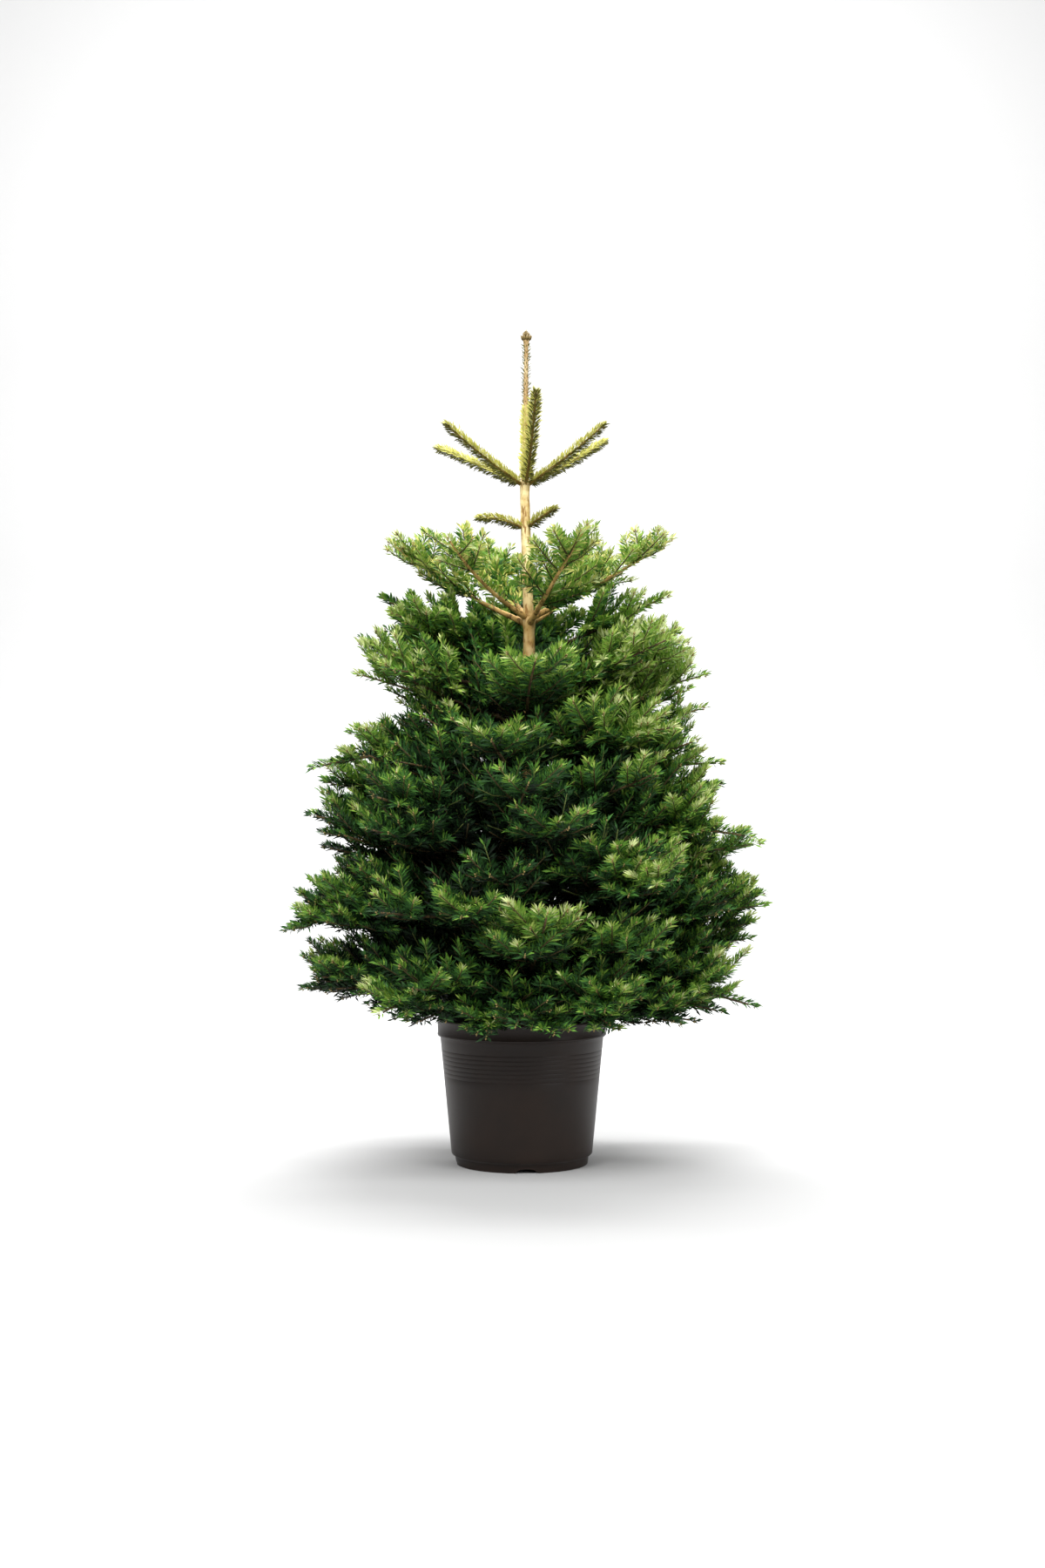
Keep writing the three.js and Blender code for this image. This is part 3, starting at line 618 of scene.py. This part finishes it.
def needle_corners(shoot, row, rng, brush, widen):
    """Four corners of every needle of a shoot: its foot, its widest part and its end."""
    count = len(row.turns)
    facing = np.array(shoot.up) * 0.6 + np.array([0, 0, 0.7])
    normal = unit(facing - row.axis * np.sum(facing * row.axis, axis=1, keepdims=True))
    side = np.cross(row.axis, normal)
    sign = np.where(row.turns >= 0, 1.0, -1.0)
    if brush:
        from_top = np.abs(row.turns)
        lean = np.radians(rng.normal(*BRUSH_LEAN, count))
    else:
        from_top = np.radians(COMB_HANG[0]) * (np.abs(row.turns) / math.pi) ** 0.8
        from_top = from_top + np.radians(rng.normal(0, COMB_HANG[1], count))
        scatter = rng.normal(0, COMB_LEAN[1], count)
        lean = np.radians(COMB_LEAN[0] + COMB_SIDES_LEAN * np.sin(from_top) + scatter)
    near_tip = np.clip(1 - row.to_tip / 15, 0, 1)
    lean = lean * (1 - 0.5 * near_tip)
    outwards = normal * np.cos(from_top)[:, None] + side * (sign * np.sin(from_top))[:, None]
    heading = unit(row.axis * np.cos(lean)[:, None] + outwards * np.sin(lean)[:, None])
    length = shoot.needle_length * (0.7 + 0.3 * np.sin(from_top)) * rng.normal(1, 0.12, count)
    length *= (1 - 0.25 * near_tip) * (0.75 + 0.25 * np.clip(row.from_root / 12, 0, 1))
    flat = np.cross(heading, normal)
    flat = unit(flat - heading * np.sum(flat * heading, axis=1, keepdims=True))
    face = np.cross(flat, heading)
    face = np.where(np.sum(face * normal, axis=1, keepdims=True) < 0, -face, face)
    roll = rng.uniform(-NEEDLE_ROLL, NEEDLE_ROLL, count)[:, None]
    broad = flat * np.cos(roll) + face * np.sin(roll)
    half = 0.5 * NEEDLE_WIDTH * widen * rng.normal(1, 0.08, count)[:, None]
    foot = row.centre + outwards * (row.radius * 0.7)[:, None]
    curve = face * (length * rng.normal(0.05, 0.04, count))[:, None]
    widest = foot + heading * (length * 0.55)[:, None] + curve
    end = foot + heading * length[:, None]
    return np.stack([foot, widest - broad * half, widest + broad * half, end], axis=1)


def clear_of_pot(corners):
    radius = np.hypot(corners[..., 0], corners[..., 1])
    return ~np.any((radius < POT_RIM_RADIUS + 1) & (corners[..., 2] < POT_HEIGHT + 1), axis=1)


def front_light(middle):
    """Painted light and shade: how much lighter the sprays are low at the front and to the right, and darker
    in the front's middle.
    """
    lit = 0.0
    if middle.y < -150 and middle.z < 420:
        lit = 0.1 if abs(middle.x) < 190 and middle.z > 290 else 0.07
    if middle.y < -110 and abs(middle.x) < 150 and 420 < middle.z < 700:
        lit -= 0.05
    return lit + max(-0.02, min(0.09, 0.09 * middle.x / 250))


# A needle's two triangles
NEEDLE_LOOPS = np.array([0, 2, 1, 1, 2, 3])
NEEDLE_SIZES = [3, 3]
needle_rng = np.random.default_rng(SEED)
colours = {**dict(GREENS), **OLIVES}
needles = {name: [] for name in colours}

for shoot in shoots:
    middle = shoot.points[len(shoot.points) // 2]
    outward = outwardness(middle)
    against_sky = middle.z > OPEN_CROWN
    if middle.z > TOP_CROWN:
        density = TOP_DENSITY
    elif against_sky:
        density = OPEN_DENSITY
    else:
        density = float(np.interp(outward, OUTWARD_STEPS, DENSITY_STEPS))
    widen = float(np.interp(outward, OUTWARD_STEPS, WIDTH_STEPS))
    if against_sky:
        shoot.needle_length = SKY_NEEDLE_LENGTH
    row = NeedleRow(shoot, density, needle_rng)
    corners = needle_corners(shoot, row, needle_rng, brush=False, widen=widen)
    # The tone carries painted shade, darker further in from the crown's outline, and front_light's painted
    # light and shade
    light = shoot.light + front_light(middle) + 0.75 * (min(outward, 1.0) - 0.85) + needle_rng.normal(0, 0.09)
    tone = light + np.choose(np.minimum(row.ages, 3), TONE_BY_AGE)
    # Needles on top of a shoot are lighter and those under it darker: painted light and shade
    tone += (0.15 if against_sky else 0.1) * (1 - 2 * np.abs(row.turns) / math.pi)
    tone = np.minimum(tone, BODY_LIGHT) + needle_rng.normal(0, 0.1, len(row.ages))
    # Shoot tips are paler new growth, made less pale further in from the outline by painted shade
    paler = needle_rng.uniform(*TIP_PALER) * (0.7 if against_sky else outward)
    tone += np.where(row.to_tip < TIP_LENGTH, paler, 0.0)
    index = np.clip((tone * len(GREENS)).astype(int), 0, len(GREENS) - 1)
    kept = clear_of_pot(corners)
    if middle.z > TOP_CROWN:
        golden = needle_rng.random(len(row.ages)) < GOLD_SHARE
        needles["gold"].append(corners[golden & kept])
        kept &= ~golden
    for value in np.unique(index):
        needles[GREENS[value][0]].append(corners[(index == value) & kept])

for shoot in top_shoots:
    row = NeedleRow(shoot, 2.2, needle_rng)
    corners = needle_corners(shoot, row, needle_rng, brush=True, widen=0.8)
    # Needles under the top shoots take the darker olive: painted shade
    under = np.abs(row.turns) > math.radians(105)
    needles["gold"].append(corners[~under])
    needles["olive"].append(corners[under])

# The leader's own needles: close and yellow-green on its lower part, few, short and dark above
leader_points = [Vector((along_trunk(z, 1), 0, z)) for z in np.linspace(1096, 1322, 15)]
leader_low = Shoot(leader_points[:8], Vector((0, -1, 0)), (4.8, 4.0), ONE_YEAR, 1.0, 0, needle_length=11)
leader_high = Shoot(leader_points[7:], Vector((0, -1, 0)), (3.9, 3.0), ONE_YEAR, 0.2, 0, needle_length=9)
for shoot, density, name in ((leader_low, 2.0, "gold"), (leader_high, 0.55, "olive")):
    row = NeedleRow(shoot, density, needle_rng)
    needles[name].append(needle_corners(shoot, row, needle_rng, brush=True, widen=0.8))

for name, groups in needles.items():
    corners = np.concatenate(groups)
    loops = (NEEDLE_LOOPS[None, :] + 4 * np.arange(len(corners))[:, None]).ravel()
    sizes = np.tile(NEEDLE_SIZES, len(corners))
    piece = object_from_arrays(f"needles_{name}_1", corners.reshape(-1, 3), loops, sizes)
    slot = "fresh" if name in OLIVES else ("bright" if name in dict(GREENS[5:]) else "deep")
    finish_piece(piece, plain_material(f"needles_{name}", colours[name], 0.55, 0.16), slot)


# Twigs

def twig_rings(shoot, sides):
    """The rings of a twig's tube, with a closed end on either side."""
    points = np.array(shoot.points)
    steps = np.diff(points, axis=0)
    along = unit(np.concatenate((steps, steps[-1:])) + np.concatenate((steps[:1], steps)))
    facing = np.broadcast_to(np.array(shoot.up), along.shape)
    up = unit(facing - along * np.sum(facing * along, axis=1, keepdims=True))
    across = np.cross(along, up)
    turns = 2 * math.pi * np.arange(sides) / sides
    radius = np.linspace(shoot.radii[0], shoot.radii[1], len(points))
    cosines, sines = (wave(turns)[None, :, None] for wave in (np.cos, np.sin))
    offsets = up[:, None, :] * cosines + across[:, None, :] * sines
    return points[:, None, :] + offsets * radius[:, None, None]


def join_twigs(name, group, sides):
    corners, loops, sizes = [], [], []
    start = 0
    for shoot in group:
        rings = twig_rings(shoot, sides)
        corners.append(rings.reshape(-1, 3))
        for k in range(len(rings) - 1):
            low = start + k * sides
            for side in range(sides):
                following = (side + 1) % sides
                loops += [low + side, low + following, low + sides + following, low + sides + side]
                sizes.append(4)
        last = start + (len(rings) - 1) * sides
        loops += [start + side for side in reversed(range(sides))]
        loops += [last + side for side in range(sides)]
        sizes += [sides, sides]
        start += len(rings) * sides
    return object_from_arrays(name, np.concatenate(corners), np.array(loops), np.array(sizes), smooth=True)


foliage_nodes = [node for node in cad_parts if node.startswith("foliage_")]
shoot_nodes = [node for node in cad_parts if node.startswith(("top_shoot", "twig_"))]
young = join_twigs("twigs_young", [s for s in shoots if s.order >= 2], 3)
older = join_twigs("twigs_older", [s for s in shoots if s.order == 1], 4)
tops = join_twigs("twigs_top", top_shoots, 8)
finish_piece(young, plain_material("twig_bark_young", "505a2a", 0.7, 0.25), "wood")
finish_piece(older, plain_material("twig_bark_older", "473c24", 0.8, 0.2), "wood", *foliage_nodes)
finish_piece(tops, plain_material("twig_bark_top", "80652f", 0.7, 0.3), "fresh", *shoot_nodes)


# Buds: a small pointed egg at each outer shoot's tip, with two beside it on the coarser ones

def bud_corners(tip, heading, up, length, radius):
    """A ring at the bud's foot, a wider one nearly halfway, turned a little, and its point."""
    across = np.cross(heading, up)
    rows = []
    for share, width in ((0.0, 0.6), (0.45, 1.0)):
        for k in range(4):
            turn = math.pi / 2 * k + share
            out = up * math.cos(turn) + across * math.sin(turn)
            rows.append(tip + heading * (length * share) + out * (radius * width))
    rows.append(tip + heading * length)
    return rows


BUD_SIZES = [4] * 5 + [3] * 4
BUD_LOOPS = [3, 2, 1, 0]
for k in range(4):
    BUD_LOOPS += [k, (k + 1) % 4, 4 + (k + 1) % 4, 4 + k]
for k in range(4):
    BUD_LOOPS += [4 + k, 4 + (k + 1) % 4, 8]


def join_buds(name, buds):
    corners = np.array([row for bud in buds for row in bud_corners(*bud)])
    loops = (np.array(BUD_LOOPS)[None, :] + 9 * np.arange(len(buds))[:, None]).ravel()
    return object_from_arrays(name, corners, loops, np.tile(BUD_SIZES, len(buds)), smooth=True)


def rosette(tip, heading, count, length, radius, splay=0.66):
    """One bud straight on and the others spread round it."""
    aside = np.array([0.3, 0.2, 1.0]) if abs(heading[2]) < 0.9 else np.array([1.0, 0.2, 0.1])
    up = unit(aside - np.dot(aside, heading) * heading)
    across = np.cross(heading, up)
    group = [(tip, heading, up, length * 1.15, radius)]
    for k in range(count):
        turn = 2 * math.pi * k / count
        out = up * math.cos(turn) + across * math.sin(turn)
        spread = unit(heading * 0.75 + out * splay)
        foot = tip - heading * length * 0.4 + out * radius * 0.8
        group.append((foot, spread, unit(heading - spread * 0.75), length, radius * 0.85))
    return group


buds = []
for shoot in shoots:
    tip = np.array(shoot.points[-1])
    if outwardness(shoot.points[-1]) < BUDS_FROM:
        continue
    heading = np.array((shoot.points[-1] - shoot.points[-2]).normalized())
    size = needle_rng.uniform(0.85, 1.15)
    buds += rosette(tip - heading * 1.2, heading, 2 if shoot.order <= 1 else 0, 3.8 * size, 1.5 * size)
finish_piece(join_buds("buds", buds), plain_material("bud_scales", "8d7a48", 0.5, 0.4), "wood")

top_buds = []
for shoot in top_shoots:
    heading = np.array((shoot.points[-1] - shoot.points[-2]).normalized())
    top_buds += rosette(np.array(shoot.points[-1]) - heading * 2.0, heading, 5, 5.2, 2.1)
leader_tip = np.array([along_trunk(1325, 1), 0, 1325.5])
upright = np.array([0, 0, 1.0])
top_buds += rosette(leader_tip - upright * 3.0, upright, 8, 10.0, 4.2, 0.62)
top_buds += rosette(leader_tip + upright * 1.5, upright, 5, 8.0, 3.8, 0.3)
node_place = np.array([along_trunk(TOP_SHOOT_NODE, 1), 0, TOP_SHOOT_NODE - 4.0])
for k in range(14):
    turn = 2 * math.pi * k / 14
    out = np.array([math.cos(turn), math.sin(turn), 0])
    heading = unit(out * 0.5 + upright * 0.9)
    up = unit(out - np.dot(out, heading) * heading)
    top_buds.append((node_place + out * 6.4, heading, up, 5.0, 2.0))
finish_piece(join_buds("buds_top", top_buds), plain_material("bud_scales_top", "6e5c31", 0.5, 0.4), "wood")


# Bark

def bark_material(name, low, high, scar, tints=()):
    """Young bark: streaks, blotches and darker scars. Each tint is two heights and the colour that it turns
    to between them."""
    surface = Surface(name, 0.78, 0.3)
    coordinates = surface.coordinates()
    stretched = surface.node("ShaderNodeMapping", [("Vector", coordinates)], Scale=(1, 1, 0.35))
    streaks = surface.clouds(stretched.outputs["Vector"], 190, 6)
    blotches = surface.clouds(coordinates, 60, 4)
    base = surface.ramp(blotches, (0.36, low), (0.62, high))
    for start, end, colour in tints:
        place = surface.node("ShaderNodeSeparateXYZ", [("Vector", coordinates)])
        share = surface.node("ShaderNodeMapRange", [("Value", place.outputs["Z"])], From_Min=start * MM,
                             From_Max=end * MM, To_Max=0.6)
        base = surface.mix(share.outputs["Result"], base, colour)
    scars = surface.ramp(streaks, (0.36, "ffffff"), (0.47, "000000"))
    return surface.finish(surface.mix(scars, base, scar), streaks, 0.6, 0.0008)


def tapered_tube(shape, stations, sides, relief):
    """Extrudes a ring along stations of centre, along, up and radius, and works the relief into its skin."""
    ring = bmesh.ops.create_circle(shape, segments=sides, radius=1.0, cap_ends=True)["verts"]
    edges = list(ring[0].link_faces[0].edges)
    unit_ring = [Vector(v.co) for v in ring]

    def place(verts, station):
        centre, along, up, radius = station
        across = up.cross(along)
        for vert, flat in zip(verts, unit_ring):
            out = up * flat.x + across * flat.y
            swell = 1 + relief(centre, math.atan2(flat.y, flat.x))
            vert.co = (centre + out * (radius * swell)) * MM

    place(ring, stations[0])
    current = ring
    for station in stations[1:]:
        result = bmesh.ops.extrude_edge_only(shape, edges=edges)["geom"]
        fresh = {item for item in result if isinstance(item, bmesh.types.BMVert)}
        edges = [item for item in result if isinstance(item, bmesh.types.BMEdge)
                 and all(v in fresh for v in item.verts)]
        current = [next(edge.other_vert(old) for edge in old.link_edges if edge.other_vert(old) in fresh)
                   for old in current]
        place(current, station)
    bmesh.ops.contextual_create(shape, geom=current)


def trunk_relief(centre, turn):
    """Fluting at the root flare, a swelling at each whorl, and shallow wrinkles and blisters elsewhere."""
    flare = math.exp(-(centre.z - SOIL_LEVEL) / 16) * 0.16 * math.cos(5 * turn + 0.6)
    place = Vector((math.cos(turn) * 1.6, math.sin(turn) * 1.6, centre.z * 0.055))
    wrinkle = 0.05 * noise.noise(place * 2.1) + 0.03 * noise.noise(place * 5.3)
    node = sum(0.10 * math.exp(-((centre.z - whorl[1] - 8) / 9) ** 2) for whorl in WHORLS)
    return flare + wrinkle * (0.8 + 0.7 * math.exp(-(centre.z - SOIL_LEVEL) / 260)) + node


trunk_shape = bmesh.new()
heights = np.concatenate((np.linspace(214.3, 260, 16)[:-1], np.linspace(260, 1329, 300)))
stations = [(Vector((along_trunk(z, 1), 0, z)), UP, Vector((1, 0, 0)), along_trunk(z, 2)) for z in heights]
tapered_tube(trunk_shape, stations, 22, trunk_relief)
bmesh.ops.recalc_face_normals(trunk_shape, faces=trunk_shape.faces)
trunk = object_from_bmesh("trunk_bark", trunk_shape)
trunk_tints = [(960, 850, "9c7638"), (TOP_SHOOT_NODE + 60, TOP_SHOOT_NODE + 150, "8c7355")]
finish_piece(trunk, bark_material("trunk_bark", "b09258", "e2cf9c", "8c6a3a", trunk_tints), "bark", "trunk")


def limb_mesh(name, lines):
    """The bark of some boughs, each with a collar where it leaves the trunk."""
    shape = bmesh.new()
    for index, (level, line, radius) in enumerate(lines):
        count = int(line.length / 14)
        stations = []
        for k in range(count + 1):
            u = 0.97 * k / count
            centre, along, _, up = line.frame(u)
            from_trunk = max(0.0, u * line.length - along_trunk(centre.z, 2))
            collar = 1 + 0.35 * math.exp(-from_trunk / 8)
            thick = radius + (1.3 - radius) * u ** BOUGH_TAPER
            stations.append((centre, along, up, thick * collar))

        def limb_relief(centre, turn, seed=index * 3.1):
            place = Vector((math.cos(turn), math.sin(turn), centre.length * 0.09 + seed))
            return 0.1 * noise.noise(place * 1.7) + 0.06 * noise.noise(place * 4.1)

        tapered_tube(shape, stations, 8, limb_relief)
    bmesh.ops.recalc_face_normals(shape, faces=shape.faces)
    return object_from_bmesh(name, shape)


upper_nodes = [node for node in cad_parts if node.startswith(f"bough_{LIMB_SHOWS}_")]
lower_nodes = [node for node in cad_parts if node.startswith("bough_") and node not in upper_nodes]
upper_limbs = limb_mesh("boughs_upper", [entry for entry in limb_lines if entry[0] == LIMB_SHOWS])
lower_limbs = limb_mesh("boughs_lower", [entry for entry in limb_lines if entry[0] != LIMB_SHOWS])
upper_bark = bark_material("bough_bark_upper", "8d6f3a", "bd9a5c", "644a26")
lower_bark = bark_material("bough_bark_lower", "3f3320", "625030", "2c2118")
finish_piece(upper_limbs, upper_bark, "wood", *upper_nodes)
finish_piece(lower_limbs, lower_bark, "wood", *lower_nodes)


# Pot

def spun(profile, steps):
    """Turns a profile round the upright axis into one closed shell."""
    shape = bmesh.new()
    verts = [shape.verts.new((x * MM, 0, z * MM)) for x, z in profile]
    edges = [shape.edges.new(pair) for pair in zip(verts, verts[1:])]
    bmesh.ops.spin(shape, geom=verts + edges, cent=(0, 0, 0), axis=(0, 0, 1), angle=2 * math.pi, steps=steps,
                   use_merge=True)
    bmesh.ops.remove_doubles(shape, verts=shape.verts, dist=1e-5)
    bmesh.ops.recalc_face_normals(shape, faces=shape.faces)
    return shape


foot, low, top, rim = POT_FOOT_RADIUS, POT_BODY_BOTTOM_RADIUS, POT_BODY_TOP_RADIUS, POT_RIM_RADIUS


def body_radius(z):
    """The radius of the pot's tapered body at a height."""
    share = (z - POT_BODY_FOOT) / (POT_RIM_FOOT - 2 - POT_BODY_FOOT)
    return low + (top - low) * share


pot_profile = [
    (0, 0), (POT_PAD_RADIUS, 0), (POT_PAD_RADIUS + 3, POT_FLOOR_RISE), (foot - 9, POT_FLOOR_RISE),
    (foot - 7, 0), (foot - 1, 0), (foot, 1), (foot + 0.9, POT_FOOT_HEIGHT - 1), (foot + 1.6, POT_FOOT_HEIGHT),
    (low - 1.2, POT_BODY_FOOT - 1.2), (low, POT_BODY_FOOT + 0.6),
]
pot_profile += [(body_radius(z), z) for z in range(24, 136, 8)]
for ridge in range(7):
    z = 140 + 7 * ridge
    pot_profile += [(body_radius(z), z), (body_radius(z + 1) - 0.35, z + 1), (body_radius(z + 2), z + 2)]
pot_profile += [
    (body_radius(198), 198), (top, POT_RIM_FOOT - 3), (top + 0.8, POT_RIM_FOOT - 1.4),
    (rim - 1.6, POT_RIM_FOOT - 0.8), (rim - 0.7, POT_RIM_FOOT + 0.2), (rim - 0.5, POT_RIM_FOOT + 2.2),
    (rim - 1.2, POT_RIM_FOOT + 3.4), (rim - 0.6, POT_HEIGHT - 5), (rim - 0.1, POT_HEIGHT - 3.6),
    (rim, POT_HEIGHT - 1.6), (rim - 0.6, POT_HEIGHT - 0.4), (rim - 1.5, POT_HEIGHT),
    (rim - POT_WALL - 0.8, POT_HEIGHT - 0.5), (rim - POT_WALL - 1.2, POT_HEIGHT - 2),
    (top - POT_WALL, POT_RIM_FOOT - 2), (low - POT_WALL, POT_BODY_FOOT), (foot - POT_WALL, POT_FLOOR_TOP),
    (0, POT_FLOOR_TOP),
]
pot = object_from_bmesh("nursery_pot", spun(pot_profile, POT_SIDES), smooth=False)

cutters = bmesh.new()


def cutter_rod(sides, radius, depth):
    return bmesh.ops.create_cone(cutters, cap_ends=True, segments=sides, radius1=radius * MM,
                                 radius2=radius * MM, depth=depth * MM)["verts"]


def move_and_turn(rod, place, degrees):
    bmesh.ops.translate(cutters, verts=rod, vec=place)
    bmesh.ops.rotate(cutters, verts=rod, matrix=Matrix.Rotation(math.radians(degrees), 3, "Z"))


for k in range(NOTCH_COUNT):
    rod = cutter_rod(28, NOTCH_WIDTH / 2, 24)
    bmesh.ops.scale(cutters, verts=rod, vec=(1, NOTCH_HEIGHT / (NOTCH_WIDTH / 2), 1))
    bmesh.ops.rotate(cutters, verts=rod, matrix=Matrix.Rotation(math.radians(90), 3, "X"))
    move_and_turn(rod, (0, -POT_FOOT_RADIUS * MM, 0), NOTCH_AZIMUTH + 90 + 360 / NOTCH_COUNT * k)
for k in range(DRAIN_COUNT):
    move_and_turn(cutter_rod(24, DRAIN_RADIUS, 30), (DRAIN_RING * MM, 0, 0), 360 / DRAIN_COUNT * (k + 0.5))
cutter = object_from_bmesh("pot_cutter", cutters, smooth=False)
cut = pot.modifiers.new("notches", "BOOLEAN")
cut.object = cutter
cut.operation = "DIFFERENCE"
cut.solver = "EXACT"
dressed = bpy.data.meshes.new_from_object(pot.evaluated_get(bpy.context.evaluated_depsgraph_get()))
pot.modifiers.clear()
pot.data = dressed
bpy.data.objects.remove(cutter)
pot.data.shade_smooth()
pot.data.set_sharp_from_angle(angle=math.radians(34))


def pot_plastic():
    """Dark satin plastic with a faint moulded grain."""
    surface = Surface("pot_plastic", 0.5, 0.28)
    coordinates = surface.coordinates()
    clouds = surface.clouds(coordinates, 14, 5)
    tint = surface.ramp(clouds, (0.3, "170e09"), (0.75, "22160e"))
    rough = surface.node("ShaderNodeMapRange", [("Value", clouds)], To_Min=0.36, To_Max=0.5)
    surface.tree.links.new(rough.outputs["Result"], surface.shader.inputs["Roughness"])
    return surface.finish(tint, surface.clouds(coordinates, 900, 2), 0.18, 0.0003)


finish_piece(pot, pot_plastic(), "pot", "pot")


# Soil

def soil_compost():
    """Dark crumbly compost."""
    surface = Surface("soil_compost", 0.95, 0.2)
    crumbs = surface.clouds(surface.coordinates(), 220, 8)
    tint = surface.ramp(crumbs, (0.35, "1d1510"), (0.7, "4a382a"))
    return surface.finish(tint, crumbs, 0.7, 0.001)


soil_floor = POT_FLOOR_TOP + 0.3
soil_edge = SOIL_LEVEL - SOIL_FALL
soil_wall = low - POT_WALL - 0.6
wall_slope = (top - low) / (POT_RIM_FOOT - 2 - POT_BODY_FOOT)
soil_top_radius = soil_wall + wall_slope * (soil_edge - POT_BODY_FOOT)


def soil_height(radius):
    """The soil's level, which falls away towards the pot's wall."""
    beyond = max(0.0, radius - SOIL_LEVEL_RADIUS) / (soil_top_radius - SOIL_LEVEL_RADIUS)
    return SOIL_LEVEL - SOIL_FALL * beyond ** 2.2


soil_profile = [(0, soil_floor), (foot - POT_WALL - 1.1, soil_floor), (soil_wall, POT_BODY_FOOT + 1)]
for k in range(41):
    radius = soil_top_radius * (1 - k / 40)
    soil_profile.append((radius, soil_height(radius)))
soil_shape = spun(soil_profile, 110)
# The soil's top is rough but not its edge at the wall
for vert in soil_shape.verts:
    x, y, z = vert.co / MM
    if z > soil_edge - 0.5 and math.hypot(x, y) < soil_top_radius - 1:
        rough = noise.fractal(Vector((x, y, 3.0)) * 0.055, 0.8, 2.1, 5)
        vert.co.z += (rough * 2.0 - 1.6) * MM
soil = object_from_bmesh("soil_surface", soil_shape)
finish_piece(soil, soil_compost(), "soil", "soil")

crumb_rng = np.random.default_rng(SEED + 5)
crumb_shape = bmesh.new()
for k in range(260):
    distance = math.sqrt(crumb_rng.uniform(0.06, 1.0)) * (soil_top_radius - 6)
    turn = crumb_rng.uniform(0, 2 * math.pi)
    size = crumb_rng.uniform(1.2, 4.2) * MM
    verts = bmesh.ops.create_icosphere(crumb_shape, subdivisions=1, radius=size)["verts"]
    squash = (1, crumb_rng.uniform(0.5, 0.9), crumb_rng.uniform(0.3, 0.6))
    bmesh.ops.scale(crumb_shape, verts=verts, vec=squash)
    bmesh.ops.rotate(crumb_shape, verts=verts, matrix=Matrix.Rotation(crumb_rng.uniform(0, 6.28), 3, "Z"))
    place = Vector((distance * math.cos(turn), distance * math.sin(turn), soil_height(distance) - 1.2)) * MM
    bmesh.ops.translate(crumb_shape, verts=verts, vec=place)
crumbs = object_from_bmesh("soil_crumbs", crumb_shape, smooth=False)
finish_piece(crumbs, plain_material("soil_bark_chips", "5a4230", 0.9, 0.2), "soil")


# Stage, camera and lights

def studio_floor():
    """A pale floor that sweeps up behind the plant."""
    shape = bmesh.new()
    profile = [(-6.0, 0.0), (2.6, 0.0)]
    for k in range(1, 13):
        turn = math.radians(90 * k / 12)
        profile.append((2.6 + 1.4 * math.sin(turn), 1.4 - 1.4 * math.cos(turn)))
    profile.append((4.0, 6.0))
    verts = [shape.verts.new((-7, y, z)) for y, z in profile]
    edges = [shape.edges.new(pair) for pair in zip(verts, verts[1:])]
    swept = bmesh.ops.extrude_edge_only(shape, edges=edges)["geom"]
    moved = [item for item in swept if isinstance(item, bmesh.types.BMVert)]
    bmesh.ops.translate(shape, verts=moved, vec=(14, 0, 0))
    return object_from_bmesh("studio_floor", shape)


floor = studio_floor()
floor.data.materials.append(plain_material("studio_paper", "b0b0b0", 0.9, 0.1))

camera_data = bpy.data.cameras.new("camera")
camera_data.lens = 48
camera_data.sensor_width = 36
camera = into_scene("camera", camera_data)
camera.location = (0.001, -3.35, 0.56)
camera.rotation_euler = (math.radians(90.77), 0, 0)
scene.camera = camera


def soft_light(name, place, target, size, power):
    data = bpy.data.lights.new(name, "AREA")
    data.shape = "RECTANGLE"
    data.size = size[0]
    data.size_y = size[1]
    data.energy = power
    light = into_scene(name, data)
    light.location = place
    light.rotation_euler = (Vector(target) - Vector(place)).to_track_quat("-Z", "Y").to_euler()


# Each light's place, what it points at, its width and length in metres and its power in watts
soft_light("key", (-1.7, -2.6, 2.7), (0, 0, 0.75), (1.3, 1.3), 80)
soft_light("fill", (2.6, -2.4, 1.7), (0, 0, 0.6), (1.8, 1.8), 46)
soft_light("overhead", (0, -2.0, 3.1), (0, 0, 0.2), (2.8, 1.8), 118)
soft_light("overhead_back", (0, 1.2, 3.2), (0, 0, 0), (2.6, 1.6), 140)
soft_light("backdrop", (0, 1.0, 3.2), (0, 4.0, 1.2), (4.0, 1.0), 250)
world = bpy.data.worlds.new("studio")
world.use_nodes = True
world.node_tree.nodes["Background"].inputs["Color"].default_value = (1, 1, 1, 1)
world.node_tree.nodes["Background"].inputs["Strength"].default_value = 0.38
scene.world = world
scene.view_settings.view_transform = "Standard"
